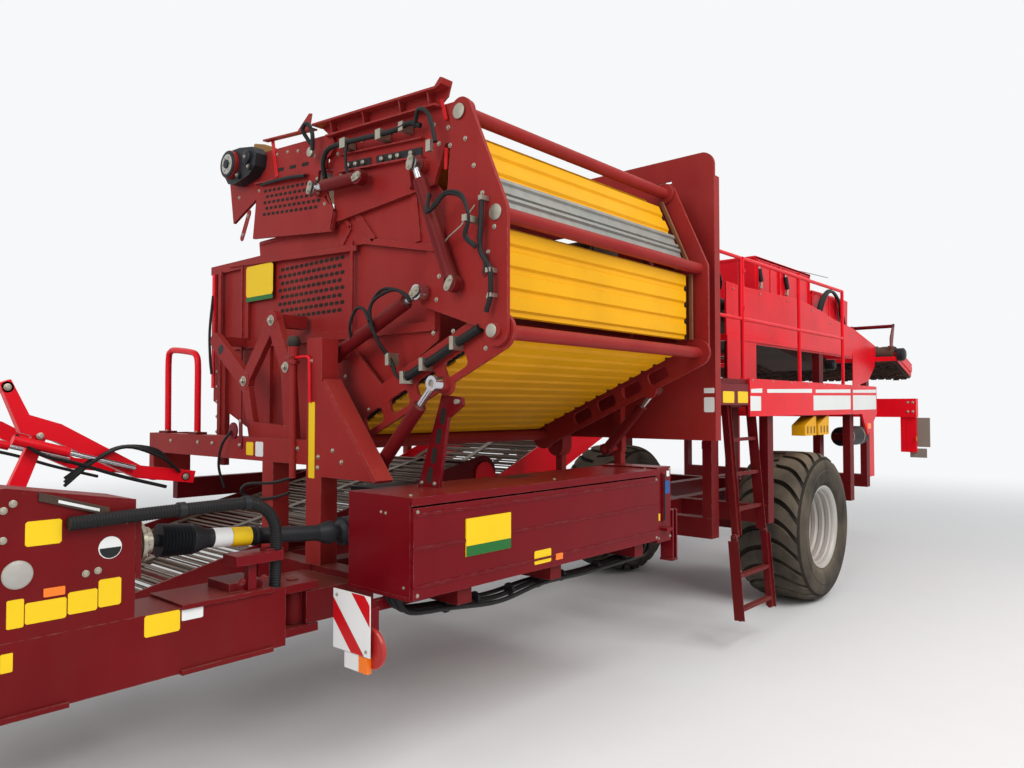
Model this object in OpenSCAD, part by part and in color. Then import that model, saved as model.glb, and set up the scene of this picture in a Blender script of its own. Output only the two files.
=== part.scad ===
// Trailed potato harvester with a side bunker, raised as for the road.
// X points forward, Y to the left and Z up. The origin is on the ground
// below the middle of the machine. All sizes are in millimetres.

/* [Wheels] */
// Diameter of a tyre over its lugs
tyre_d = 1485; // [1400:5:1520]
// Width of a tyre
tyre_w = 710; // [600:10:720]
// Diameter of the rim where the tyre sits
rim_d = 760; // [700:10:800]
// Distance between the middle planes of the wheels
track = 2150; // [2100:10:2200]
// Place of the axle along the machine
axle_x = -2470; // [-2520:5:-2420]
// Distance between the king pins
king_span = 1240; // [1200:10:1250]

/* [Frame] */
// Height of the frame's seats on the axle beam
seat_h = 55.5; // [40:0.5:60]
// Height of the main rails
rail_h = 160; // [140:5:165]
// Width of a main rail
rail_w = 120; // [100:5:130]
// Distance of the rails from the middle over the axle
rail_y = 400; // [380:5:410]
// Width of the machine over its side plates
width = 3300; // [3280:10:3340]

/* [Bunker] */
// Inside of the rear bunker wall
bunker_x0 = 690; // [680:5:700]
// Inside of the front bunker wall
bunker_x1 = 2560; // [2540:5:2570]
// Thickness of the bunker walls with their folded edges
wall_t = 40; // [30:2:40]
// Top edge of the fixed bunker walls
wall_top = 2980; // [2900:10:3000]
// Top edge of the tall rear plate
tall_top = 3780; // [3740:10:3780]

/* [Unloading boom] */
// Radius of the cross tubes at the kinks
tube_r = 38; // [30:1:44]
// Thickness of the boom's side plates
cheek_t = 20; // [14:1:20]
// Thickness of the slatted belt
belt_t = 60; // [50:2:64]
// Spacing of the belt's ribs
rib_pitch = 105; // [80:5:140]
// Bore of a cylinder barrel's outside
barrel_r = 38; // [32:1:42]
// Radius of a piston rod
rod_r = 20; // [16:1:24]

/* [Side box] */
// Rear end of the side box
box_x0 = 730; // [720:5:760]
// Front end of the side box
box_x1 = 2980; // [2940:5:2985]
// Underside of the side box
box_z = 1020; // [1010:1:1025]
// Height of the side box with its lid
box_h = 490; // [460:5:500]
// Depth of the side box across the machine
box_depth = 480; // [440:5:480]
// Sheet of the side box
box_t = 15; // [10:1:20]

/* [Drawbar] */
// Place of the drawbar's swing pin along the machine
draw_x = 3200; // [3190:5:3210]
// Place of the drawbar across the machine
draw_y = 750; // [740:5:760]
// Width of the drawbar beam
draw_w = 300; // [260:10:320]
// Front end of the towing eye
eye_x = 6500; // [6450:10:6550]
// Bore radius of the towing eye
eye_r = 25; // [20:1:30]
// Height of the towing eye's middle
eye_z = 640; // [600:10:680]
// Place of the jack along the drawbar
jack_x = 5250; // [5200:10:5300]

/* [Intake] */
// Height of the first web's rear roller, where the intake pivots
pivot_z = 1400; // [1390:2:1410]
// Place of the first web's rear roller
pivot_x = 900; // [890:5:910]
// Place of the first web's front roller
dig_x = 4250; // [4150:10:4300]
// Height of the first web's front roller in the raised position
dig_z = 640; // [600:5:660]
// Outer side of the webs' right cheek
web_y0 = -1560; // [-1565:1:-1550]
// Outer side of the webs' left cheek
web_y1 = -110; // [-115:1:-105]
// Radius of the web rollers
roller_r = 90; // [80:5:95]
// Diameter of a web rod
web_rod = 14; // [10:1:18]
// Spacing of the web rods
web_pitch = 110; // [90:10:160]

/* [Rear deck] */
// Walking platform's upper side
deck_z = 2170; // [2160:2:2180]
// Front end of the platform
deck_x1 = -180; // [-200:10:-160]
// Rear end of the platform
deck_x0 = -3280; // [-3320:10:-3240]
// Top rail of the guard above the platform
guard_h = 1030; // [950:10:1080]
// Outer side of the rear hood
hood_y = 1000; // [980:5:1005]
// Front end of the hood
hood_x1 = -1160; // [-1200:10:-1150]
// Rear end of the hood
hood_x0 = -5600; // [-5640:10:-5560]

/* [Hidden] */
$fn = 48;

dark = [0.42, 0.03, 0.04];
bright = [0.75, 0.03, 0.06];
yellow = [0.95, 0.68, 0.05];
rubber = [0.06, 0.06, 0.06];
steel = [0.6, 0.61, 0.62];

axle_z = tyre_d / 2;
axle_top = axle_z + 102;        // upper side of the axle beam
rail_z = axle_top + seat_h;     // underside of the main rails
wheel_y = track / 2;
rail_top = rail_z + rail_h;
gap = 5;        // running gap between moving pieces
fit = 0.3;      // clearance of pieces that seat on each other

// Pin of the disc coulters, as [along, up]
disc_pin = [4560, 700];

// Rear joint of the drive shaft
joint_at = [2990, 820, 1290];

// Boom points in the crosswise plane, as [across, up]
boom_pin = [300, 1720];
kink_low = [1650, 2310];
kink_high = [1650, 2890];
top_pin = [1400, 3450];
end_pin = [250, 3530];
drive_pin = [-740, 3600];
boom_mid_x = (bunker_x0 + bunker_x1) / 2;
cheek_x = bunker_x1 + wall_t + 16;
outer_cheek_x = cheek_x + cheek_t + gap;
cylinder_x = outer_cheek_x + cheek_t + 50;
front_x = cylinder_x + 60;      // rear face of the front frame
post_w = 120;                   // posts and cross beams along the machine

// Picking table, from its rear roller to its front roller, as [along, up]
table_a = [-4300, 2460];
table_b = [640, 3150];
table_y = [100, 800];

// Height of the picking table's middle at a place along the machine
function table_z(x) = table_a[1] + (x - table_a[0]) * (table_b[1] - table_a[1]) / (table_b[0] - table_a[0]);

// Cylinder pins as [across, up]: base eye, rod eye
lift_pins = [[840, 1620], [1270, 2060]];
fold_pins = [[420, 2240], [1150, 2540]];
top_pins = [[1400, 2560], [1110, 3230]];
end_pins = [[640, 3250], [190, 3270]];

// Ladder: its sides along the machine, and its stiles' ends as [across, up]
ladder_x0 = -950;
ladder_x1 = -420;
ladder_top = [1320, deck_z - 42];
ladder_joint = [1420, 900];
ladder_bottom = [1470, 270];

// Front post of the guard rail, where the gate hangs
gate_x = -760;

// Second web, from its front roller to its rear roller, as [along, up]
web2_a = [760, 1190];
web2_b = [-2850, 2700];

// Block between two opposite corners
module block(a, b) {
    translate(a) cube(b - a);
}

// Outline drawn as [along, up], from y0 to y1 across the machine
module side_plate(y0, y1) {
    translate([0, y1, 0]) rotate([90, 0, 0]) linear_extrude(y1 - y0) children();
}

// Outline drawn as [across, up], from x0 to x1 along the machine
module cross_plate(x0, x1) {
    translate([x0, 0, 0]) rotate([90, 0, 90]) linear_extrude(x1 - x0) children();
}

// Flat bar outline from p to q with square ends
module bar2(p, q, w) {
    d = q - p;
    translate(p) rotate(atan2(d[1], d[0])) translate([0, -w / 2]) square([norm(d), w]);
}

// Flat link outline from p to q with round ends
module link2(p, q, w) {
    d = q - p;
    translate(p) rotate(atan2(d[1], d[0])) {
        translate([0, -w / 2]) square([norm(d), w]);
        circle(d = w);
        translate([norm(d), 0]) circle(d = w);
    }
}

// Side plate outline of a belt that runs from p to q, from out outside it to in inside it
module cheek2(p, q, out, in) {
    d = q - p;
    translate(p) rotate(atan2(d[1], d[0])) {
        translate([0, -out]) square([norm(d), out + in]);
        circle(out);
        translate([norm(d), 0]) circle(out);
    }
}

// Rounded rectangle between two corners
module round_rect2(a, b, r) {
    translate(a + [r, 0]) square([b[0] - a[0] - 2 * r, b[1] - a[1]]);
    translate(a + [0, r]) square([b[0] - a[0], b[1] - a[1] - 2 * r]);
    for (x = [a[0] + r, b[0] - r], y = [a[1] + r, b[1] - r])
        translate([x, y]) circle(r);
}

// Round bar between two points
module rod(a, b, r) {
    d = b - a;
    translate(a) rotate([0, acos(d[2] / norm(d)), atan2(d[1], d[0])])
        cylinder(r = r, h = norm(d));
}

module rod_x(x0, x1, p, r) {
    translate([x0, p[0], p[1]]) rotate([0, 90, 0]) cylinder(r = r, h = x1 - x0);
}

module rod_y(y0, y1, p, r) {
    translate([p[0], y1, p[1]]) rotate([90, 0, 0]) cylinder(r = r, h = y1 - y0);
}

// Children and their mirror image about the middle plane of the bunker
module both_ends() {
    children();
    translate([2 * boom_mid_x, 0, 0]) mirror([1, 0, 0]) children();
}

// Children and their mirror image about the middle of the machine
module left_right(side) {
    if (side > 0) children();
    else mirror([0, 1, 0]) children();
}

// Frame

module main_frame() color(dark) {
    // columns: place across, rear end, front end
    for (r = [[rail_y, -5300, 2900], [-rail_y, -5300, 500], [-20, 380, 2900]])
        block([r[1], r[0] - rail_w / 2, rail_z], [r[2], r[0] + rail_w / 2, rail_top]);
    // Cross beams. columns: rear face, right end, left end
    for (c = [[380, -width / 2, 920], [-320, rail_y, 1330], [-1400, -1650, 1330], [-3620, -1650, 1330],
              [-5300, -1650, 1000], [front_x, -80, 860]])
        block([c[0], c[1], rail_z], [c[0] + post_w, c[2], rail_top]);
    // Arms below the side box
    for (x = [950, 1850, 2600])
        block([x - 50, rail_y, box_z - 80], [x + 50, 1380, box_z]);
    // Seats on the axle
    for (s = [-1, 1])
        block([axle_x - 100, s * rail_y - rail_w / 2, axle_top],
              [axle_x + 100, s * rail_y + rail_w / 2, rail_z]);
    drawbar_pivot();
}

// Posts on the frame. columns: rear face, right side, left side, top
post_table = [[-1400, 1250, 1330, deck_z - 40], [-3620, 1250, 1330, deck_z - 40],
    [-320, 1250, 1330, deck_z - 40],
    [-1400, 920, 1000, 2550], [-3620, 920, 1000, 2550], [-5300, 920, 1000, 2550],
    [-1400, -1650, web_y0 - 20, 2150], [-3620, -1650, web_y0 - 20, 2550],
    [-5300, -1650, web_y0 - 20, 2550]];

module deck_posts() color(dark) {
    for (p = post_table)
        block([p[0], p[1], rail_top], [p[0] + post_w, p[2], p[3]]);
    // Outer rail on the right, with its post
    block([500, -width / 2, 1250], [2700, web_y0 - 20, 1400]);
    block([380, -width / 2, rail_top], [500, web_y0 - 20, 1400]);
}

// Bearer and pin that the drawbar swings on
module drawbar_pivot() {
    block([front_x + post_w, rail_y, 865], [draw_x - 10, draw_y + 110, 1025]);
    translate([draw_x, draw_y, 865]) cylinder(r = 70, h = 160);
    translate([draw_x, draw_y, 815]) cylinder(r = 30, h = 260);
}

module axle_beam() color(dark) {
    difference() {
        union() {
            block([axle_x - 90, -king_span / 2 + 60, axle_z - 100],
                  [axle_x + 90, king_span / 2 - 60, axle_top]);
            for (s = [-1, 1])
                translate([axle_x, s * king_span / 2, axle_z - 100]) cylinder(r = 90, h = 202);
        }
        for (s = [-1, 1])
            translate([axle_x, s * king_span / 2, axle_z - 110]) cylinder(r = 35.3, h = 230);
    }
}

module knuckle(side) color(dark) left_right(side) {
    king_y = king_span / 2;
    translate([axle_x, king_y, axle_z - 135]) cylinder(r = 35, h = 272);
    for (z = [axle_z - 135, axle_z + 107]) {
        translate([axle_x, king_y, z]) cylinder(r = 85, h = 30);
        block([axle_x - 85, king_y, z], [axle_x + 85, king_y + 140, z + 30]);
    }
    block([axle_x - 85, king_y + 95, axle_z - 135], [axle_x + 85, king_y + 140, axle_z + 137]);
    rod_y(king_y + 120, wheel_y - 10, [axle_x, axle_z], 55);
}

// Wheel about its own axle, seen from its outer side
module turned() {
    rotate([90, 0, 0]) rotate_extrude($fn = 96) children();
}

module tyre(side) color(rubber) left_right(side)
    translate([axle_x, wheel_y, axle_z]) turned() difference() {
        round_rect2([rim_d / 2 + fit, -tyre_w / 2], [tyre_d / 2, tyre_w / 2], 90);
        round_rect2([rim_d / 2 + 40, -tyre_w / 2 + 60], [tyre_d / 2 - 70, tyre_w / 2 - 60], 60);
        translate([rim_d / 2 - 10, -tyre_w / 2 + 165]) square([90, tyre_w - 330]);
        // Seats of the rim's flanges
        for (s = [-1, 1])
            translate([rim_d / 2, s * (tyre_w / 2 - 50) - 13]) square([32, 26]);
    }

module rim(side) color(steel) left_right(side)
    translate([axle_x, wheel_y, axle_z]) turned() {
        difference() {
            translate([rim_d / 2 - 24, -tyre_w / 2 + 50]) square([24, tyre_w - 100]);
        }
        for (s = [-1, 1])
            translate([rim_d / 2 - 24, s * (tyre_w / 2 - 56) - 6]) square([54, 12]);
        // Dish and hub. rotate([90, 0, 0]) turns the outer side to minus
        translate([0, -60]) square([rim_d / 2 - 10, 18]);
        translate([55 + fit, -60]) square([75, 240]);
        translate([0, -110]) square([110, 60]);
    }

// Structure that carries the bunker

module front_frame() color(dark) {
    x1 = front_x + 110;
    // Post beside the lever, with the bracket of the lift cylinder
    block([front_x, 600, rail_top], [x1, 740, 2300]);
    cross_plate(front_x, front_x + 40) link2([690, lift_pins[0][1]], lift_pins[0], 120);
    rod_x(cylinder_x - 25, front_x, lift_pins[0], 22);
    // Cross beam in front of the wall
    block([front_x, -1580, 1500], [x1, 600, 1640]);
    block([front_x, -80, rail_top], [x1, 40, 1500]);
    // Right foot on the outer rail
    block([2600, -width / 2, 1400], [x1, -1580, 1640]);
    // Wall bearers
    for (y = [-1130, -530])
        block([bunker_x1 + wall_t, y, 1520], [front_x, y + 60, 1620]);
    // Straddle links to the wall
    cross_plate(front_x + 20, front_x + 60) {
        bar2([-900, 1640], [-420, 2500], 90);
        bar2([-60, 1640], [-380, 2500], 90);
        translate([-400, 2500]) circle(80);
    }
    block([bunker_x1 + wall_t, -440, 2460], [front_x + 20, -360, 2540]);
    // Boom pivot bearer and pin
    cross_plate(cylinder_x - 14, front_x) link2(boom_pin, [boom_pin[0], 1580], 150);
    rod_x(cheek_x + fit, front_x, boom_pin, 36);
}

module wall_outline() {
    difference() {
        polygon([[-1290, 1985], [-1290, wall_top], [1150, wall_top], [1150, 2300],
                 [420, 1900], [180, 1700], [-400, 1640]]);
        translate(boom_pin) circle(120);
    }
}

module bunker_front_wall() color(dark) {
    cross_plate(bunker_x1, bunker_x1 + 12) wall_outline();
    // Folded top edge and stiffening ribs
    block([bunker_x1, -1290, wall_top - 60], [bunker_x1 + wall_t, 1150, wall_top]);
    for (y = [-1270, -820, 1090])
        block([bunker_x1, y, 2350], [bunker_x1 + wall_t, y + 60, wall_top]);
    block([bunker_x1, -1270, 2350], [bunker_x1 + wall_t, 1150, 2400]);
    for (y = [-1130, -530])
        block([bunker_x1, y, 1720], [bunker_x1 + wall_t, y + 60, 2400]);
    block([bunker_x1, -440, 2400], [bunker_x1 + wall_t, -360, 2540]);
    for (y = [-1130, -530])
        block([bunker_x1, y, 1520], [bunker_x1 + wall_t, y + 60, 1900]);
}

module bunker_rear_wall() color(dark) {
    cross_plate(bunker_x0 - 12, bunker_x0) wall_outline();
    block([bunker_x0 - wall_t, -1290, wall_top - 60], [bunker_x0, 1150, wall_top]);
    for (y = [-1270, -500, 1090])
        block([bunker_x0 - wall_t, y, 2350], [bunker_x0, y + 60, wall_top]);
    // Bearers down to the frame
    for (y = [-900, -100])
        block([360, y - 40, 1880], [bunker_x0 - 12, y + 40, 1960]);
}

module bunker_floor() color(dark) {
    x0 = bunker_x0;
    x1 = bunker_x1;
    cross_plate(x0, x1) {
        bar2([-1250, 2010], [-420, 1690], 60);
        bar2([-440, 1690], [180, 1740], 60);
    }
    block([x0, -1290, 1990], [x1, -1270, wall_top]);
}

module tall_plate() color(dark) {
    difference() {
        cross_plate(340, 360) difference() {
            union() {
                translate([-width / 2, 1700]) square([width, tall_top - 1800]);
                translate([-width / 2, tall_top - 200]) square([width - 100, 200]);
                translate([width / 2 - 100, tall_top - 100]) circle(100);
            }
            translate([table_y[0] - 30, 3010]) square([table_y[1] - table_y[0] + 60, 330]);
        }
        // Rows of slots
        for (i = [0:5], j = [0:3])
            block([330, 800 + 90 * i, tall_top - 360 + 60 * j], [370, 860 + 90 * i, tall_top - 340 + 60 * j]);
    }
    // Edge folds and posts on the frame. columns: right side, foot, top
    for (y = [-width / 2, width / 2 - 60])
        block([280, y, 1700], [340, y + 60, 3600]);
    for (p = [[-width / 2, 1400, 3000], [260, rail_top, 1640], [830, rail_top, 3000]])
        block([360, p[0], p[1]], [420, p[0] + 60, p[2]]);
    // Rear bearing of the boom pivot and of the lift cylinder
    rear_cheek = 2 * boom_mid_x - cheek_x;
    cross_plate(360, 480) link2(boom_pin, [boom_pin[0], 1620], 150);
    rod_x(360, rear_cheek - fit, boom_pin, 36);
    cross_plate(360, 420) link2([840, 1700], lift_pins[0], 120);
    rod_x(360, 2 * boom_mid_x - cylinder_x + 25, lift_pins[0], 22);
}

// Unloading boom

// Inward offset of a point from a boom line that runs from p to q
function inward(p, q, along, off) =
    let (d = (q - p) / norm(q - p)) p + along * d + off * [-d[1], d[0]];

// Slatted belt on the inner side of the line from p to q, with trapezoid ribs outside
module belt_outline(p, q, cut_p, cut_q) {
    face = tube_r + fit;
    len = norm(q - p) - cut_p - cut_q;
    n = max(2, floor(len / rib_pitch));
    step = len / n;
    rib = 14;
    ribs = [for (i = [0:n - 1]) each [[i * step, rib], [i * step + 0.2 * step, rib],
        [i * step + 0.3 * step, 0], [i * step + 0.9 * step, 0]]];
    outline = concat(ribs, [[len, rib], [len, belt_t], [0, belt_t]]);
    d = (q - p) / norm(q - p);
    translate(p) rotate(atan2(d[1], d[0])) translate([cut_p, face]) polygon(outline);
}

module belt(p, q, cut_p, cut_q) {
    cross_plate(bunker_x0 + 20, bunker_x1 - 20) belt_outline(p, q, cut_p, cut_q);
}

// Square bar that carries a belt on its inner face, out to reach at either end
module belt_bar(p, q, along, reach) {
    off = tube_r + belt_t + 2 * fit;
    a = inward(p, q, along - 25, off);
    b = inward(p, q, along + 25, off);
    d = (q - p) / norm(q - p);
    cross_plate(2 * boom_mid_x - reach, reach)
        polygon([a, b, b + 40 * [-d[1], d[0]], a + 40 * [-d[1], d[0]]]);
}

module boom_lower_frame() color(dark) {
    d = (kink_low - boom_pin) / norm(kink_low - boom_pin);
    both_ends() cross_plate(cheek_x, cheek_x + cheek_t) difference() {
        union() {
            cheek2(boom_pin, kink_low, 95, 138);
            translate(boom_pin) circle(110);
            polygon([boom_pin + [-60, 60], [360, 2290], [480, 2290], boom_pin + [560, 250]]);
            translate(fold_pins[0]) circle(60);
            translate(lift_pins[1]) circle(60);
        }
        translate(boom_pin) circle(36 + fit);
        for (i = [0:3])
            translate(boom_pin) rotate(atan2(d[1], d[0]))
                round_rect2([330 + 240 * i, -60], [500 + 240 * i, 30], 30);
    }
    both_ends() rod_x(cheek_x + cheek_t, cylinder_x + 25, fold_pins[0], 22);
    both_ends() rod_x(cheek_x + cheek_t, cylinder_x - 31, lift_pins[1], 40);
    // Cross tube at the lower kink, and the belt's bearers
    rod_x(2 * boom_mid_x - outer_cheek_x - cheek_t - 20, outer_cheek_x + cheek_t + 20, kink_low, tube_r);
    rod_x(2 * boom_mid_x - cheek_x, cheek_x, boom_pin, tube_r);
    belt_bar(boom_pin, kink_low, norm(kink_low - boom_pin) - 150, cheek_x);
}

module boom_lower_belt() color(yellow) belt(boom_pin, kink_low, 0, 90);

module boom_mid_frame() color(dark) {
    both_ends() cross_plate(outer_cheek_x, outer_cheek_x + cheek_t) difference() {
        union() {
            link2(kink_low, kink_high, 150);
            link2(kink_high, top_pin, 150);
            polygon([kink_low + [-40, 0], kink_high + [0, 0], top_pin + [-60, -60],
                     [1290, 2860], [1110, 2600], [1110, 2480]]);
            translate(fold_pins[1]) circle(60);
            translate(top_pins[0]) circle(60);
        }
        translate(kink_low) circle(tube_r + fit);
    }
    both_ends() rod_x(outer_cheek_x + cheek_t, cylinder_x - 31, fold_pins[1], 40);
    both_ends() rod_x(outer_cheek_x + cheek_t, cylinder_x + 25, top_pins[0], 22);
    rod_x(2 * boom_mid_x - outer_cheek_x, outer_cheek_x, kink_high, tube_r);
    rod_x(2 * boom_mid_x - outer_cheek_x - 6, outer_cheek_x + 6, top_pin, tube_r);
    belt_bar(kink_low, kink_high, 160, outer_cheek_x);
    belt_bar(kink_high, top_pin, norm(top_pin - kink_high) - 160, outer_cheek_x);
}

module boom_mid_belt() color(yellow) {
    belt(kink_low, kink_high, 90, 45);
    belt(kink_high, top_pin, 45, 90);
}

module boom_top_frame() color(dark) {
    both_ends() cross_plate(cheek_x, cheek_x + cheek_t) difference() {
        union() {
            cheek2(top_pin, end_pin, 70, 138);
            link2(top_pins[1], [1150, 3460], 120);
        }
        translate(top_pin) circle(tube_r + fit);
    }
    // Panel that closes the gap above the front wall
    cross_plate(cheek_x, cheek_x + cheek_t) difference() {
        polygon([top_pin - [75, 0], [1180, 3120], [300, 3060], end_pin + [20, 0]]);
        translate(top_pin) circle(tube_r + fit);
    }
    both_ends() rod_x(cheek_x + cheek_t, cylinder_x - 31, top_pins[1], 40);
    rod_x(cheek_x + cheek_t, cylinder_x + 25, end_pins[0], 22);
    rod_x(2 * boom_mid_x - outer_cheek_x - cheek_t, outer_cheek_x + cheek_t, end_pin, tube_r);
    for (a = [170, norm(end_pin - top_pin) - 100])
        belt_bar(top_pin, end_pin, a, cheek_x);
}

module boom_top_belt() color(yellow) belt(top_pin, end_pin, 90, 40);

module boom_end_frame() color(dark) {
    both_ends() cross_plate(outer_cheek_x, outer_cheek_x + cheek_t) difference() {
        cheek2(end_pin, drive_pin, 70, 138);
        translate(end_pin) circle(tube_r + fit);
    }
    // Panel of the front side, with the cylinder's boss
    cross_plate(outer_cheek_x, outer_cheek_x + cheek_t) {
        polygon([end_pin - [60, 0], [130, 3230], [-500, 3380], drive_pin]);
        translate(end_pins[1]) circle(60);
    }
    rod_x(outer_cheek_x + cheek_t, cylinder_x - 31, end_pins[1], 40);
    rod_x(2 * boom_mid_x - outer_cheek_x, outer_cheek_x, drive_pin, tube_r);
    belt_bar(end_pin, drive_pin, 100, outer_cheek_x);
    // Drive motor
    rod_x(outer_cheek_x + cheek_t, outer_cheek_x + 130, drive_pin, 95);
}

module boom_end_belt() color(yellow) belt(end_pin, drive_pin, 40, 0);

// Direction of a cylinder from its base eye to its rod eye
function axis2(pins) = (pins[1] - pins[0]) / norm(pins[1] - pins[0]);

// Place in space of a point that lies along a cylinder from its base eye
function on_axis(pins, along) = let (p = pins[0] + along * axis2(pins)) [cylinder_x, p[0], p[1]];

module barrel(pins, nose = 110) {
    len = norm(pins[1] - pins[0]);
    difference() {
        union() {
            rod_x(cylinder_x - 25, cylinder_x + 25, pins[0], 44);
            rod(on_axis(pins, 30), on_axis(pins, len - nose), barrel_r);
        }
        rod_x(cylinder_x - 30, cylinder_x + 30, pins[0], 22 + fit);
        rod(on_axis(pins, 70), on_axis(pins, len), rod_r + fit);
    }
}

// Piston rod that starts at its inner end, with its eye
module piston(pins, start) {
    len = norm(pins[1] - pins[0]);
    difference() {
        union() {
            rod(on_axis(pins, start), on_axis(pins, len), rod_r);
            rod_x(cylinder_x - 25, cylinder_x + 25, pins[1], 40);
        }
        rod_x(cylinder_x - 30, cylinder_x + 30, pins[1], 20);
    }
}

// Side box

module side_box() color(dark) {
    y1 = 1400;
    y0 = y1 - box_depth;
    difference() {
        block([box_x0, y0, box_z], [box_x1, y1 - 6, box_z + box_h - 20]);
        block([box_x0 + box_t, y0 + box_t, box_z + box_t],
              [box_x1 - box_t, y1, box_z + box_h - 40]);
    }
    // Lid with its folded lip
    block([box_x0, y0, box_z + box_h - 20], [box_x1, y1, box_z + box_h]);
    block([box_x0, y1, box_z + box_h - 40], [box_x1, y1 + 12, box_z + box_h]);
}

module box_door() color(dark) {
    y = 1400;
    top = box_z + box_h - 50;
    block([box_x0 + 10, y - 6 + fit, box_z + 4], [box_x1 - 10, y + 8, top]);
    for (z = [box_z + 60, box_z + 240, box_z + 400])
        block([box_x0 + 10, y + 8, z], [box_x1 - 10, y + 14, z + 12]);
}

module tank_block() color(dark) {
    block([545, 930, 1000], [box_x0 - fit, 1390, 1520]);
    block([560, 460, 940], [700, 940, 1000 - fit]);
    block([600, 1390, 1080], [680, 1440, 1100]);
}

module gearbox() color(rubber) {
    // Drive input between the side box and the frame, with its short shaft
    block([2240, 480, 1070], [2640, 900, 1480]);
    rod_x(2640, joint_at[0], [joint_at[1], joint_at[2]], 18);
    translate(joint_at) sphere(30);
    for (x = [2300, 2500])
        block([x, rail_y + rail_w / 2, 1040], [x + 60, 880, 1070]);
}

// Drawbar

module drawbar() color(dark) {
    y0 = draw_y - draw_w / 2;
    y1 = draw_y + draw_w / 2;
    // Beam, stepping down to the towing eye
    side_plate(y0, y1) polygon([[3330, 800], [3330, 1080], [4900, 1070], [5900, 760],
        [6250, 700], [6250, 580], [5800, 560], [4900, 790]]);
    // Fork at the swing pin
    difference() {
        for (z = [820, 1030])
            block([draw_x - 80, y0 + 40, z], [3340, y1 - 40, z + 40]);
        translate([draw_x, draw_y, 800]) cylinder(r = 30 + fit, h = 300);
    }
    // Towing eye
    difference() {
        union() {
            block([6240, draw_y - 50, eye_z - 35], [6430, draw_y + 50, eye_z + 35]);
            translate([eye_x - 80, draw_y, eye_z - 20]) cylinder(r = 80, h = 40);
        }
        translate([eye_x - 80, draw_y, eye_z - 60]) cylinder(r = eye_r, h = 120);
        translate([eye_x - 120, draw_y - 100, eye_z + 20]) cube([200, 200, 100]);
        translate([eye_x - 120, draw_y - 100, eye_z - 120]) cube([200, 200, 100]);
    }
    // Jack housing
    difference() {
        union() {
            block([jack_x - 60, y1, 640], [jack_x + 60, y1 + 120, 1500]);
            block([jack_x - 60, y1 - 20, 700], [jack_x + 60, y1, 900]);
        }
        block([jack_x - 40 - fit, y1 + 20 - fit, 600], [jack_x + 40 + fit, y1 + 100 + fit, 1485]);
    }
}

module drawbar_cover() color(dark) {
    y0 = draw_y - draw_w / 2;
    y1 = draw_y + draw_w / 2;
    for (y = [y0, y1 - 12])
        side_plate(y, y + 12) polygon([[3850, 1077], [3850, 1530], [4500, 1640],
            [5180, 1640], [5180, 1000], [4900, 1070]]);
    side_plate(y0, y1) polygon([[3850, 1518], [3850, 1530], [4500, 1640],
        [5180, 1640], [5180, 1628], [4500, 1628]]);
    block([5160, y0, 1100], [5180, y1, 1640]);
    // Carrier of the drive line with its flange
    block([3900, y0, 1250], [3930, y1, 1450]);
    rod_x(3930, 3980, [770, 1360], 80);
    rod_x(5180, 5240, [draw_y, 1360], 70);
    rod_x(5240, 5330, [draw_y, 1360], 17.45);
}

module jack_leg() color(steel) {
    y = draw_y + draw_w / 2 + 60;
    block([jack_x - 40, y - 40, 20], [jack_x + 40, y + 40, 1050]);
    block([jack_x - 130, y - 130, 0], [jack_x + 130, y + 130, 20]);
}

// Telescopic drive shaft between its two joint covers
module pto_shaft() color(rubber) {
    front_at = [3930, draw_y + 20, 1360];
    d = front_at - joint_at;
    difference() {
        union() {
            rod(joint_at + 0.005 * d, joint_at + 0.27 * d, 62);
            rod(joint_at + 0.27 * d, joint_at + 0.72 * d, 40);
            rod(joint_at + 0.7 * d, joint_at + 0.9 * d, 62);
        }
        translate(joint_at) sphere(30 + fit);
    }
}

module marker_board() color("white") {
    block([3145, 1030, 780], [3150, 1312, 1062]);
    block([2650, 1150, 950], [3145, 1190, 1000]);
}

// Intake and webs

module web_loop(a, b, y0, y1, pitch) {
    d = (b - a) / norm(b - a);
    n = [-d[1], d[0]];
    r = roller_r + web_rod / 2;
    len = norm(b - a);
    count = floor(len / pitch);
    step = len / count;
    for (y = [y0 + 20, (y0 + y1) / 2, y1 - 20])
        side_plate(y - 30, y + 30) difference() {
            link2(a, b, 2 * r + 12);
            link2(a, b, 2 * r - 4);
        }
    for (i = [0:count], s = [-1, 1])
        rod_y(y0, y1, a + i * step * d + s * r * n, web_rod / 2);
}

module web_front() color(steel) web_loop([dig_x, dig_z], [pivot_x, pivot_z], web_y0 + 40, web_y1 - 40, web_pitch);

module intake_frame() color(dark) {
    a = [dig_x, dig_z];
    b = [pivot_x, pivot_z];
    for (y = [web_y0, web_y1 - 15])
        side_plate(y, y + 15) difference() {
            union() {
                link2(a, b, 300);
                bar2([4250, dig_z], [4250, 1200], 100);
            }
            translate(b) circle(45 + fit);
        }
    for (p = [a, b]) rod_y(web_y0 + 15, web_y1 - 15, p, roller_r - fit);
    for (t = [0.3, 0.6]) rod_y(web_y0 + 15, web_y1 - 15, a + t * (b - a), 40);
    // Frame that carries the ridge rollers. columns of the arms: right side
    block([4200, web_y0, 1150], [4300, web_y1, 1250]);
    for (y = [web_y0 + 60, -865, web_y1 - 120]) {
        block([4300, y, 1170], [5000, y + 60, 1230]);
        block([4900, y, 860], [4980, y + 60, 1170]);
    }
    rod_y(web_y0 + 60, web_y1 - 60, [4940, 900], 30);
    // Arms and pins of the disc coulters
    for (s = [-1, 1]) {
        y = s < 0 ? web_y0 - 15 : web_y1;
        side_plate(y, y + 15) link2([4250, 900], disc_pin, 80);
        rod_y(s < 0 ? y - 30 : y + 15, s < 0 ? y : y + 45, disc_pin, 20);
    }
}

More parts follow.
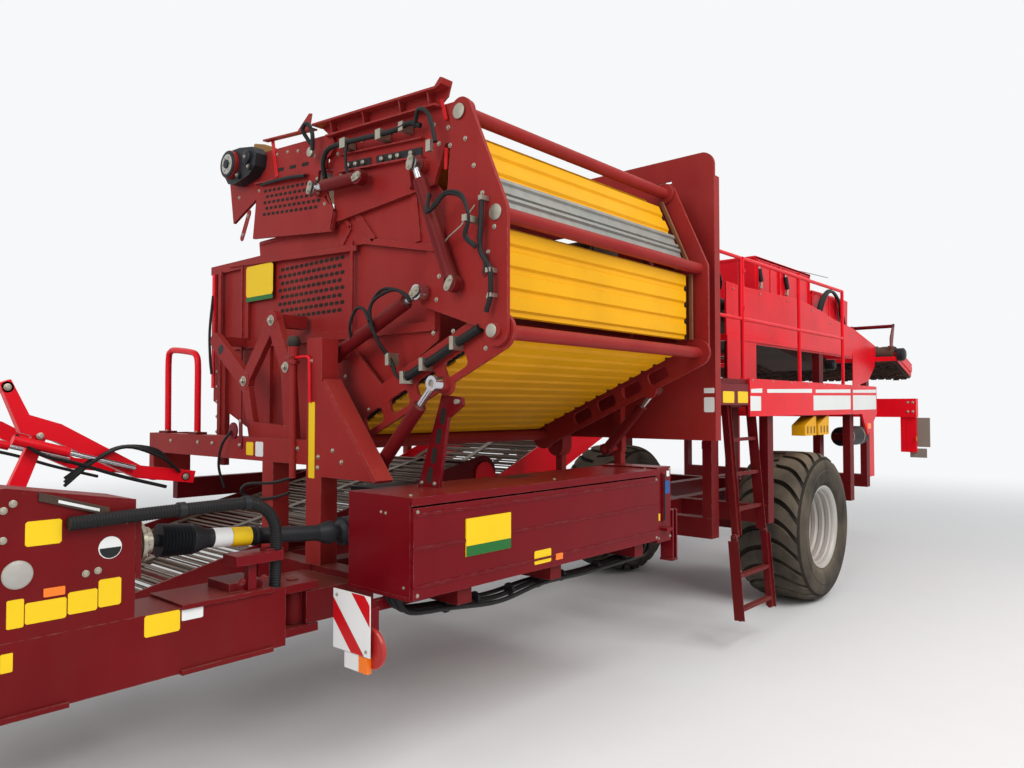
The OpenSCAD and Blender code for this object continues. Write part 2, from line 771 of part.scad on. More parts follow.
// Ridge rollers, waisted in the middle
module diabolo_rollers() color(steel) {
    for (y = [-1435, -800])
        translate([4940, y, 900]) rotate([-90, 0, 0])
            rotate_extrude() polygon([[30 + fit, 0], [240, 0], [240, 20], [110, 282],
                [240, 545], [240, 565], [30 + fit, 565]]);
}

module coulter_discs() color(steel) {
    for (y = [web_y0 - 36, web_y1 + 26])
        difference() {
            rod_y(y, y + 10, disc_pin, 260);
            rod_y(y - 10, y + 20, disc_pin, 20 + fit);
        }
}

module shares() color(steel) {
    side_plate(web_y0 + 15, web_y1 - 15)
        polygon([[4375, 690], [4375, 650], [4740, 480], [4760, 495]]);
}

module web_rear() color(steel) web_loop(web2_a, web2_b, web_y0 + 40, web_y1 - 40, web_pitch);

module web_cheeks() color(bright) {
    for (y = [web_y0 - 20, web_y1 + 5])
        side_plate(y, y + 15) {
            link2(web2_a, web2_b, 330);
            link2(web2_a, [pivot_x, pivot_z], 200);
            bar2([500, rail_top], [500, 1250], 120);
        }
    for (p = [web2_a, web2_b]) rod_y(web_y0 - 5, web_y1 + 5, p, roller_r - fit);
    for (t = [0.3, 0.65])
        rod_y(web_y0 - 5, web_y1 + 5, web2_a + t * (web2_b - web2_a), 40);
    // Pins that the intake pivots on
    for (y = [web_y0 - 5, web_y1 - 13])
        rod_y(y, y + 18, [pivot_x, pivot_z], 45);
}

// Rear hood, separators and picking table

module hood() color(bright) {
    for (y = [-1650, hood_y - 15])
        side_plate(y, y + 15) polygon([[hood_x1, 2550], [hood_x1, 3050], [-1500, 3090], [-3300, 3040],
            [-4700, 2930], [hood_x0, 2760], [hood_x0, 2550]]);
    // Cross bars. columns: rear face, left end
    for (c = [[hood_x1 - 60, hood_y - 15], [-3240, table_y[0] - fit], [-4700, hood_y - 15],
              [hood_x0, hood_y - 15]])
        block([c[0], -1635, 2550], [c[0] + 60, c[1], 2610]);
    // Feet of the picking table's side boards
    for (y = [table_y[0], table_y[1] - 40])
        block([hood_x1 - 60, y, 2610], [hood_x1, y + 40, table_z(hood_x1 - 60) - 91 - fit]);
}

module separator() color(rubber) {
    for (i = [0:10])
        rod_y(-1620, 45, [-3080 - 150 * i, 2665], 45);
    for (y = [-1635, 45])
        block([-4700, y, 2610], [-2940, y + 15, 2745]);
}

// Belt that runs round two rollers, as [along, up]
module belt_loop(a, b, y0, y1, r) {
    side_plate(y0, y1) difference() {
        link2(a, b, 2 * r);
        link2(a, b, 2 * r - 24);
    }
}

module picking_table() color(rubber) {
    r = 60;
    belt_loop(table_a, table_b, table_y[0] + 20, table_y[1] - 20, r);
    for (p = [table_a, table_b]) rod_y(table_y[0] + 12, table_y[1] - 12, p, r - 12 - fit);
    // Side boards, shorter than the belt
    d = table_b - table_a;
    for (y = [table_y[0], table_y[1] - 12])
        side_plate(y, y + 12) bar2(table_a, table_b, 2 * r + 60);
}

module platform() color(dark) {
    block([deck_x0, hood_y + 10, deck_z - 40], [deck_x1, 1380, deck_z]);
    // Bearers between the posts
    for (x = [-1400, -3620])
        block([x, 1000, deck_z - 100], [x + post_w, 1250, deck_z - 40]);
}

module skirt() color(bright) {
    side_plate(1380, 1400) polygon([[-760, 1860], [-760, 2180], [-4240, 2180], [-4240, 1860],
        [-3900, 1620], [-3700, 1860]]);
}

module guard_rail() color(bright) {
    z1 = deck_z + guard_h;
    for (x = [deck_x0 + 20, (deck_x0 + gate_x) / 2, gate_x])
        rod([x, 1340, deck_z], [x, 1340, z1], 17);
    for (z = [z1, deck_z + guard_h / 2])
        rod_x(deck_x0 + 20, gate_x, [1340, z], 17);
    // Grab rail in front of the ladder
    rod([deck_x1 - 20, 1340, deck_z], [deck_x1 - 20, 1340, z1 - 30], 17);
}

module gate() color(bright) {
    x0 = gate_x + 40;
    x1 = deck_x1 - 60;
    z0 = deck_z + guard_h / 2;
    z1 = deck_z + guard_h;
    for (z = [z0, z1]) rod_x(x0, x1, [1340, z], 15);
    for (x = [x0, x1]) rod([x, 1340, z0], [x, 1340, z1], 15);
    // Hinge eyes round the post
    for (z = [z0 + 80, z1 - 120])
        difference() {
            union() {
                translate([gate_x, 1340, z]) cylinder(r = 27, h = 30);
                block([gate_x, 1332, z], [x0, 1348, z + 30]);
            }
            translate([gate_x, 1340, z - 5]) cylinder(r = 17 + fit, h = 40);
        }
}

// Place of a point on the ladder's slanted line at height z, across the machine
function ladder_y(z) = ladder_top[0]
    + (ladder_bottom[0] - ladder_top[0]) * (ladder_top[1] - z) / (ladder_top[1] - ladder_bottom[1]);

module ladder_rungs(x0, x1, heights) {
    for (z = heights) block([x0, ladder_y(z) - 25, z], [x1, ladder_y(z) + 25, z + 25]);
}

module ladder() color(dark) {
    for (x = [ladder_x0, ladder_x1 - 30])
        cross_plate(x, x + 30) bar2(ladder_top, ladder_joint, 50);
    ladder_rungs(ladder_x0 + 30, ladder_x1 - 30, [for (i = [0:3]) 1100 + 280 * i]);
    // Hinge pins of the foot
    for (x = [ladder_x0 - 40, ladder_x1 - 30]) rod_x(x, x + 70, ladder_joint, 12);
}

module ladder_foot() color(dark) {
    difference() {
        union() {
            for (x = [ladder_x0 - 34, ladder_x1 + 4])
                cross_plate(x, x + 30) link2(ladder_joint, ladder_bottom, 50);
            ladder_rungs(ladder_x0 - 10, ladder_x1 + 10, [320, 580]);
        }
        rod_x(ladder_x0 - 100, ladder_x1 + 100, ladder_joint, 12 + fit);
    }
}

module rear_bar() color(dark) {
    block([-5660, -1500, 1810], [-5560, 1400, 1900]);
    for (y = [-1460, 1300])
        block([-5640, y, 1350], [-5600, y + 90, 1810]);
    block([-5560, -1000, 1810], [-5500, 1000, 1900]);
    for (y = [-960, 940])
        block([-5560, y, rail_top - 40], [-5300, y + 40, 1900]);
}

module rear_web() color(rubber) {
    a = [-5720, 2640];
    b = [-6380, 2450];
    belt_loop(a, b, -1470, 870, 110);
    for (p = [a, b]) rod_y(-1485, 885, p, 98 - fit);
    for (y = [-1500, 885]) {
        side_plate(y, y + 15) bar2(a, b, 180);
        block([-5760, y, 2555], [hood_x0, y + 15, 2600]);
    }
}

module stowage() color(yellow) {
    // Wheel chocks on their holder below the platform
    block([-3400, 1250, 1650], [-2900, 1360, 1800]);
    block([-3200, 1300, 1800], [-3100, 1320, deck_z - 40]);
    // Air tank on the rear post
    rod_x(-4400, -3720, [1150, 1600], 110);
    block([-3720, 1100, 1560], [-3620, 1300, 1640]);
}

main_frame();
deck_posts();
axle_beam();
knuckle(1);  // knuckle_left
knuckle(-1);  // knuckle_right
tyre(1);  // tyre_left
tyre(-1);  // tyre_right
rim(1);  // rim_left
rim(-1);  // rim_right
front_frame();
bunker_front_wall();
bunker_rear_wall();
bunker_floor();
tall_plate();
side_box();
box_door();
tank_block();
gearbox();
boom_lower_frame();
boom_lower_belt();
boom_mid_frame();
boom_mid_belt();
boom_top_frame();
boom_top_belt();
boom_end_frame();
boom_end_belt();
color(dark) both_ends() barrel(lift_pins, 160);  // lift_barrels
color(steel) both_ends() piston(lift_pins, 190);  // lift_rods
color(dark) both_ends() barrel(fold_pins);  // fold_barrels
color(steel) both_ends() piston(fold_pins, 80);  // fold_rods
color(dark) both_ends() barrel(top_pins);  // top_barrels
color(steel) both_ends() piston(top_pins, 80);  // top_rods
color(dark) barrel(end_pins);  // end_barrel
color(steel) piston(end_pins, 155);  // end_rod
drawbar();
drawbar_cover();
jack_leg();
pto_shaft();
marker_board();
intake_frame();
web_front();
diabolo_rollers();
coulter_discs();
shares();
web_rear();
web_cheeks();
hood();
separator();
picking_table();
platform();
skirt();
guard_rail();
gate();
ladder();
ladder_foot();
rear_bar();
rear_web();
stowage();
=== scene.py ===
"""Paint, tyres, hoses, lamps and fittings of a trailed potato harvester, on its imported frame."""
import math

import bmesh
import bpy
from bpy.props import FloatProperty, FloatVectorProperty, IntProperty, PointerProperty
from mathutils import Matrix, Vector


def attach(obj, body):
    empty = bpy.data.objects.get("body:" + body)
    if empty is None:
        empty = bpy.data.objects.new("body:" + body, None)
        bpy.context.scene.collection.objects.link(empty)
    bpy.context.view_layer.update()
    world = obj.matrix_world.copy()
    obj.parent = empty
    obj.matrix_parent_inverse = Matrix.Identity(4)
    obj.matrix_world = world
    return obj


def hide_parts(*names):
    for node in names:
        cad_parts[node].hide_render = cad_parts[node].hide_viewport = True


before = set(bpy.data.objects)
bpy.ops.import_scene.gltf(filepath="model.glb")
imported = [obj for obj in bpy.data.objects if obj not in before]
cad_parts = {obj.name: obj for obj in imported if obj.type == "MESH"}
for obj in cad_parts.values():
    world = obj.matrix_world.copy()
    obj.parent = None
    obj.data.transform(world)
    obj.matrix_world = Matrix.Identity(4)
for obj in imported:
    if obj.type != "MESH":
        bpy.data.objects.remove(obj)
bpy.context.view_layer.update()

bl_info = {
    "name": "Potato harvester finish",
    "version": (1, 0, 0),
    "blender": (4, 5, 0),
    "location": "View3D > Sidebar > Harvester",
    "description": "Paints the harvester's frame and adds its tyres, hoses, lamps and fittings",
    "category": "Object",
}

# Places are in millimetres, X forward, Y to the left and Z up, as on the frame.
AXLE = (-2470.0, 742.5)
WHEEL_Y = 1075.0
BOX_FACE = 1414.0       # outer face of the side box's door
BEAM_FACE = 900.0       # left face of the drawbar
SKIRT_FACE = 1400.0     # outer face of the skirt below the platform
LOW_FACE = 2636         # front face of the side sheets of the boom's lower and top sections
MID_FACE = 2661         # front face of the side sheets of its middle and end sections
WALL_FACE = 2600        # front face of the bunker's front wall
POST_FACE = 2881        # front face of the post before that wall
REAR_WEB = ((-5720, 2640), (-6380, 2450))       # axles (x, z) of the rear web's two rollers


def linear(r, g, b):
    """Colour in Blender's linear light from the usual 0 to 255 values."""
    return tuple(round((c / 255 / 12.92) if c <= 10 else ((c / 255 + 0.055) / 1.055) ** 2.4,
                       4) for c in (r, g, b))


# Sizes and colours that a user would change

def colour(name, description, value):
    return FloatVectorProperty(name=name, description=description, subtype="COLOR", size=3,
                               min=0.0, max=1.0, default=value)


def length(name, description, value):
    return FloatProperty(name=name, description=description, subtype="DISTANCE", unit="LENGTH", default=value)


def share(name, description, value):
    return FloatProperty(name=name, description=description, subtype="FACTOR", min=0.0, max=1.0,
                         default=value)


class PaintSettings(bpy.types.PropertyGroup):
    # Shaded red: the machine's one red paint, darkened as painted shade
    shaded_red: colour("Shaded red", "Paint of the frame, the side box and the drawbar", linear(110, 4, 17))
    # Half lit dusty red: the same red paint with real dust, its tone halfway between painted sunlight and
    # painted shade
    half_lit_dusty_red: colour("Half lit dusty red", "Paint of the bunker and its boom, with a film of dust", linear(140, 26, 28))
    # Sunlit red: the same red paint, lightened as painted sunlight
    bright_red: colour("Sunlit red", "Paint of the hood, the skirt and the guard rails", linear(226, 8, 30))
    slat_yellow: colour("Slat yellow", "Paint of the slatted belts", linear(236, 170, 8))
    silver: colour("Silver", "Paint of the rims", linear(186, 186, 182))
    dust: colour("Dust", "Dry soil on the paint", linear(176, 134, 104))
    dustiness: share("Dustiness", "How much dry soil lies on the machine", 0.5)
    wear: share("Edge wear", "How far the paint is rubbed off along edges", 0.4)


class TyreSettings(bpy.types.PropertyGroup):
    rubber: colour("Rubber", "Tyre rubber", linear(30, 30, 32))
    lugs: IntProperty(name="Lugs", description="Number of lugs on each side of a tyre", min=16, max=32,
                      default=24)
    lug_height: length("Lug height", "Height of a lug over the carcass", 0.034)
    groove: length("Groove", "Width of the groove between two lugs", 0.05)


class HoseSettings(bpy.types.PropertyGroup):
    bundle_radius: length("Bundle radius", "Radius of the corrugated hose on the drawbar", 0.0285)
    hose_radius: length("Hose radius", "Radius of a hydraulic hose", 0.009)
    rib_pitch: length("Rib pitch", "Spacing of the corrugations", 0.012)


class StageSettings(bpy.types.PropertyGroup):
    floor: colour("Floor", "Pale studio floor", (0.82, 0.82, 0.81))
    sky: FloatProperty(name="Sky", description="Strength of the light from all round", min=0.0, max=2.0,
                       default=0.5)
    key: FloatProperty(name="Key lamp", description="Power of the large soft lamp", subtype="POWER",
                       unit="POWER", min=0.0, default=1450.0)
    lens: FloatProperty(name="Lens", description="Focal length of the camera", subtype="DISTANCE_CAMERA",
                        unit="CAMERA", default=27.035)


def settings(group):
    """One of the scene's groups of sizes and colours."""
    return getattr(bpy.context.scene, "harvester_" + group)


# Materials

def effect(name, inputs, outputs):
    """Empty shader group with float inputs, and its two end nodes."""
    tree = bpy.data.node_groups.new(name, "ShaderNodeTree")
    for label, value in inputs:
        tree.interface.new_socket(name=label, in_out="INPUT",
                                  socket_type="NodeSocketFloat").default_value = value
    for label in outputs:
        tree.interface.new_socket(name=label, in_out="OUTPUT", socket_type="NodeSocketFloat")
    return tree, tree.nodes.new("NodeGroupInput"), tree.nodes.new("NodeGroupOutput")


def math_node(tree, operation, a, b=0.0, clamp=False):
    """Math node on two sockets or numbers. Returns its output."""
    node = tree.nodes.new("ShaderNodeMath")
    node.operation, node.use_clamp = operation, clamp
    for socket, value in zip(node.inputs, (a, b)):
        if isinstance(value, (int, float)):
            socket.default_value = value
        else:
            tree.links.new(value, socket)
    return node.outputs[0]


def noise(tree, place, scale, detail=4.0, stretch=None):
    """Noise value over an object's own coordinates."""
    if stretch:
        turn = tree.nodes.new("ShaderNodeMapping")
        turn.inputs["Scale"].default_value = stretch
        tree.links.new(place, turn.inputs["Vector"])
        place = turn.outputs["Vector"]
    node = tree.nodes.new("ShaderNodeTexNoise")
    node.inputs["Detail"].default_value = detail
    tree.links.new(place, node.inputs["Vector"])
    if isinstance(scale, (int, float)):
        node.inputs["Scale"].default_value = scale
    else:
        tree.links.new(scale, node.inputs["Scale"])
    return node.outputs["Fac"]


def background_mask(tree):
    """1 for the rays that see the pale background: camera, glossy and transmission rays."""
    path = tree.nodes.new("ShaderNodeLightPath")
    mask = math_node(tree, "MAXIMUM", path.outputs["Is Camera Ray"], path.outputs["Is Glossy Ray"])
    return math_node(tree, "MAXIMUM", mask, path.outputs["Is Transmission Ray"])


def make_dust():
    """Dry soil: clouds and specks, thicker on what faces up and low on the machine."""
    tree, start, end = effect("Dry soil", [("Amount", 0.3), ("Up", 0.5), ("Low", 0.3)], ["Mask", "Height"])
    place = tree.nodes.new("ShaderNodeTexCoord")
    split = tree.nodes.new("ShaderNodeSeparateXYZ")
    tree.links.new(place.outputs["Normal"], split.inputs[0])
    height = tree.nodes.new("ShaderNodeSeparateXYZ")
    tree.links.new(place.outputs["Object"], height.inputs[0])
    cloud = noise(tree, place.outputs["Object"], 2.3, 6.0)
    streak = noise(tree, place.outputs["Object"], 9.0, 5.0, (1.0, 1.0, 0.25))
    speck = noise(tree, place.outputs["Object"], 160.0, 2.0)
    up = math_node(tree, "MULTIPLY", math_node(tree, "MAXIMUM", split.outputs["Z"], 0.0), start.outputs["Up"])
    low = math_node(tree, "MULTIPLY", math_node(tree, "SUBTRACT", 1.0, height.outputs["Z"], True),
                    start.outputs["Low"])
    base = math_node(tree, "ADD", math_node(tree, "MULTIPLY", cloud, 0.9),
                     math_node(tree, "MULTIPLY", streak, 0.5))
    base = math_node(tree, "MULTIPLY", math_node(tree, "SUBTRACT", base, 0.42, True), start.outputs["Amount"])
    both = math_node(tree, "ADD", base, math_node(tree, "MULTIPLY", math_node(tree, "ADD", up, low), cloud))
    rough = math_node(tree, "ADD", 0.62, math_node(tree, "MULTIPLY", speck, 0.7))
    tree.links.new(math_node(tree, "MULTIPLY", both, rough, True), end.inputs["Mask"])
    tree.links.new(speck, end.inputs["Height"])
    return tree


def make_wear():
    """Rubbed edges: where a rounded normal leaves the flat one, broken up by noise."""
    tree, start, end = effect("Rubbed edges", [("Amount", 0.4)], ["Mask"])
    place = tree.nodes.new("ShaderNodeTexCoord")
    round_edge = tree.nodes.new("ShaderNodeBevel")
    round_edge.samples = 3
    round_edge.inputs["Radius"].default_value = 0.005
    flat = tree.nodes.new("ShaderNodeNewGeometry")
    dot = tree.nodes.new("ShaderNodeVectorMath")
    dot.operation = "DOT_PRODUCT"
    tree.links.new(round_edge.outputs["Normal"], dot.inputs[0])
    tree.links.new(flat.outputs["Normal"], dot.inputs[1])
    edge = math_node(tree, "MULTIPLY", math_node(tree, "SUBTRACT", 1.0, dot.outputs["Value"], True), 4.0,
                     True)
    broken = noise(tree, place.outputs["Object"], 28.0, 6.0)
    broken = math_node(tree, "MULTIPLY", math_node(tree, "SUBTRACT", broken, 0.42, True), 4.0, True)
    worn = math_node(tree, "MULTIPLY", math_node(tree, "MULTIPLY", edge, broken), start.outputs["Amount"],
                     True)
    tree.links.new(worn, end.inputs["Mask"])
    return tree


def make_drift():
    """Slow change of shade over a surface, with fine grain."""
    tree, start, end = effect("Shade drift", [("Size", 3.0), ("Grain", 300.0)], ["Shade", "Grain"])
    place = tree.nodes.new("ShaderNodeTexCoord")
    tree.links.new(noise(tree, place.outputs["Object"], start.outputs["Size"], 5.0), end.inputs["Shade"])
    tree.links.new(noise(tree, place.outputs["Object"], start.outputs["Grain"], 3.0), end.inputs["Grain"])
    return tree


def mix(tree, mask, a, b):
    """Colour mix of two colours or sockets by a mask socket."""
    # A Mix node's colours are its inputs 6 and 7 and its output 2
    node = tree.nodes.new("ShaderNodeMix")
    node.data_type = "RGBA"
    tree.links.new(mask, node.inputs[0])
    for socket, value in zip((node.inputs[6], node.inputs[7]), (a, b)):
        if isinstance(value, tuple):
            socket.default_value = (*value, 1.0)
        else:
            tree.links.new(value, socket)
    return node.outputs[2]


def coat(name, base, rough=0.4, metal=0.0, dust=0.3, up=0.3, low=0.2, wear=0.0, drift=0.25, size=3.0,
         grain=300.0, bump=0.12, under=(0.30, 0.27, 0.25), gloss=0.0, soil=None, sheen=0.16):
    """Finish of one kind: base colour that drifts in shade, rubbed edges, dust and fine grain.

    dust, up and low say how much soil lies all over, on top and near the ground. soil is its colour,
    under is the colour below the paint, and sheen is the specular level.
    """
    made = bpy.data.materials.get(name)
    if made:
        return made
    paint = settings("paint")
    level = paint.dustiness * 2
    made = bpy.data.materials.new(name)
    made.use_nodes = True
    tree = made.node_tree
    shader = tree.nodes["Principled BSDF"]
    group = {}
    for label in ("Dry soil", "Rubbed edges", "Shade drift"):
        node = tree.nodes.new("ShaderNodeGroup")
        node.node_tree = bpy.data.node_groups[label]
        group[label] = node
    group["Dry soil"].inputs["Amount"].default_value = dust * level
    group["Dry soil"].inputs["Up"].default_value = up * level
    group["Dry soil"].inputs["Low"].default_value = low * level
    group["Shade drift"].inputs["Size"].default_value = size
    group["Shade drift"].inputs["Grain"].default_value = grain
    dark = tuple(c * (1 - drift) for c in base)
    light = tuple(min(1.0, c * (1 + drift * 0.6) + 0.01 * drift) for c in base)
    shade = mix(tree, group["Shade drift"].outputs["Shade"], dark, light)
    if wear:
        group["Rubbed edges"].inputs["Amount"].default_value = wear * paint.wear * 2
        shade = mix(tree, group["Rubbed edges"].outputs["Mask"], shade, under)
    else:
        tree.nodes.remove(group["Rubbed edges"])
    mask = group["Dry soil"].outputs["Mask"]
    shade = mix(tree, mask, shade, soil or tuple(paint.dust))
    tree.links.new(shade, shader.inputs["Base Color"])
    tree.links.new(math_node(tree, "ADD", rough, math_node(tree, "MULTIPLY", mask, 0.9 - rough), True),
                   shader.inputs["Roughness"])
    shader.inputs["Metallic"].default_value = metal
    shader.inputs["Specular IOR Level"].default_value = sheen
    shader.inputs["Coat Weight"].default_value = gloss
    shader.inputs["Coat Roughness"].default_value = 0.12
    relief = tree.nodes.new("ShaderNodeBump")
    relief.inputs["Strength"].default_value = bump
    relief.inputs["Distance"].default_value = 0.002
    heights = math_node(tree, "ADD", group["Shade drift"].outputs["Grain"], mask)
    tree.links.new(heights, relief.inputs["Height"])
    tree.links.new(relief.outputs["Normal"], shader.inputs["Normal"])
    return made


def finishes():
    """All the finishes of the machine, by plain name."""
    paint, tyre = settings("paint"), settings("tyre")
    # deep holds the red in painted shade, bright the red in painted sunlight, and boom the red halfway
    # between them with dust
    deep, boom, bright = tuple(paint.shaded_red), tuple(paint.half_lit_dusty_red), tuple(paint.bright_red)
    return {
        # Shaded red: painted shade on the one red paint
        "shaded red": coat("deep_red_paint", deep, 0.3, dust=0.02, up=0.08, low=0.01, wear=0.5, gloss=0.04,
                         drift=0.2, sheen=0.1),
        # Drawbar red: the same red paint, darkened as painted shade
        "shaded beam red": coat("drawbar_shaded_red_paint", linear(106, 3, 14), 0.36, dust=0.05, up=0.16, low=0.03,
                         wear=0.7, sheen=0.1),
        # Half lit dusty red: the same red paint halfway between painted sunlight and painted shade, with real
        # dust
        "half lit dusty red": coat("boom_red_paint", boom, 0.42, dust=0.26, up=0.25, low=0.08, wear=0.8,
                         soil=linear(180, 96, 76), sheen=0.12),
        # Frame red: the same red paint, darkened as painted shade
        "shaded frame red": coat("frame_shaded_red_paint", linear(100, 3, 14), 0.42, dust=0.06, up=0.2, low=0.06,
                          wear=0.7, sheen=0.1),
        # Sunlit red: the same red paint, lightened as painted sunlight
        "sunlit red": coat("bright_red_paint", bright, 0.3, dust=0.02, up=0.06, low=0.02, wear=0.3,
                           gloss=0.04, sheen=0.12),
        "yellow": coat("slat_yellow_paint", tuple(paint.slat_yellow), 0.38, dust=0.28, up=0.12, low=0.0,
                       wear=0.5, drift=0.22, size=1.6, soil=linear(150, 104, 40),
                       under=(0.35, 0.25, 0.1)),
        "galvanised": coat("galvanised_slat", linear(150, 154, 150), 0.4, 0.55, dust=0.25, drift=0.3,
                           size=14.0),
        "silver": coat("silver_rim_paint", tuple(paint.silver), 0.42, 0.25, dust=0.3, up=0.15, low=0.35,
                       wear=0.2),
        "tyre": coat("tyre_rubber", tuple(tyre.rubber), 0.75, dust=0.85, up=0.75, low=0.0, drift=0.35,
                     size=6.0, bump=0.35, grain=90.0, soil=linear(142, 128, 108)),
        # Groove: the tyre's rubber and soil, darkened as painted shade in recesses; also used for the dark
        # plates that stand for open holes and slots
        "groove": coat("tyre_groove_shade", linear(22, 21, 22), 0.85, dust=0.5, up=0.3, bump=0.3,
                       soil=linear(96, 84, 70)),
        "rubber": coat("black_rubber", linear(30, 30, 31), 0.6, dust=0.35, up=0.35, low=0.0, bump=0.3,
                       grain=160.0),
        "hose": coat("hose_rubber", linear(24, 24, 26), 0.45, dust=0.08, up=0.1, low=0.02, bump=0.2,
                     grain=240.0, soil=linear(96, 88, 80)),
        "plastic": coat("black_plastic", linear(30, 32, 36), 0.42, dust=0.08, up=0.12, bump=0.15,
                        soil=linear(100, 94, 86)),
        "steel": coat("worn_steel", linear(128, 118, 108), 0.38, 0.75, dust=0.4, up=0.35, drift=0.35,
                      size=12.0, soil=linear(126, 92, 66)),
        "rust": coat("rusty_rail", linear(120, 74, 42), 0.7, 0.1, dust=0.5, up=0.3, drift=0.45, size=18.0,
                     bump=0.4),
        "zinc": coat("zinc_bolts", linear(168, 164, 150), 0.32, 0.8, dust=0.25, up=0.2, drift=0.3, size=30.0),
        "chrome": coat("polished_rod", linear(196, 198, 202), 0.14, 0.95, dust=0.06, up=0.08, drift=0.1),
        "white film": coat("white_film", linear(226, 228, 226), 0.35, dust=0.08, up=0.1, drift=0.06),
        "red film": coat("red_film", linear(196, 14, 26), 0.32, dust=0.08, drift=0.12),
        "yellow film": coat("yellow_film", linear(240, 200, 20), 0.36, dust=0.14, drift=0.1),
        "green film": coat("green_film", linear(26, 104, 48), 0.4, dust=0.1, drift=0.1),
        "blue film": coat("blue_film", linear(30, 84, 150), 0.35, dust=0.1, drift=0.1),
        "orange lens": coat("orange_lens", linear(246, 120, 8), 0.18, dust=0.08, drift=0.12, size=60.0,
                            gloss=0.5),
        "red lens": coat("red_lens", linear(170, 8, 16), 0.18, dust=0.1, drift=0.15, size=60.0, gloss=0.5),
        "grey lens": coat("grey_lens", linear(168, 166, 160), 0.28, dust=0.2, drift=0.15, size=30.0,
                          gloss=0.3),
        "tan": coat("tan_rubber", linear(150, 112, 62), 0.7, dust=0.3, bump=0.3),
        "board": coat("grey_board", linear(126, 122, 114), 0.6, dust=0.3),
    }


# Building pieces

def bend(points, parts=6):
    """Smooth line through the given points."""
    p = [Vector(q) for q in points]
    p = [2 * p[0] - p[1]] + p + [2 * p[-1] - p[-2]]
    line = []
    for i in range(1, len(p) - 2):
        for k in range(parts):
            t = k / parts
            line.append(0.5 * (2 * p[i] + (p[i + 1] - p[i - 1]) * t
                               + (2 * p[i - 1] - 5 * p[i] + 4 * p[i + 1] - p[i + 2]) * t * t
                               + (3 * p[i] - p[i - 1] - 3 * p[i + 1] + p[i + 2]) * t ** 3))
    return line + [p[-2]]


def walk(points, step):
    """Points along a line at an even spacing."""
    line, left = [points[0]], step
    for a, b in zip(points, points[1:]):
        span = (b - a).length
        while span > 1e-9 and left <= span:
            line.append(a + (b - a) * (left / span))
            left += step
        left -= span
    return line + [points[-1]] if (line[-1] - points[-1]).length > step * 0.3 else line


def across(axis, p, h):
    """Point from a place p in the plane across an axis, at h along it."""
    a, b = p
    return {"x": (h, a, b), "y": (a, h, b), "z": (a, b, h)}[axis]


def ring(axis, middle, radius, count):
    """Places evenly spaced round a middle point, in the plane across an axis."""
    a, b, h = {"x": (1, 2, 0), "y": (0, 2, 1)}[axis]
    turns = [2 * math.pi * i / count for i in range(count)]
    return [across(axis, (middle[a] + radius * math.cos(t), middle[b] + radius * math.sin(t)), middle[h])
            for t in turns]


SHARP_FROM = math.radians(38)   # angle between two faces from which their edge is drawn sharp
BEVEL_FROM = math.radians(50)   # angle from which it is bevelled


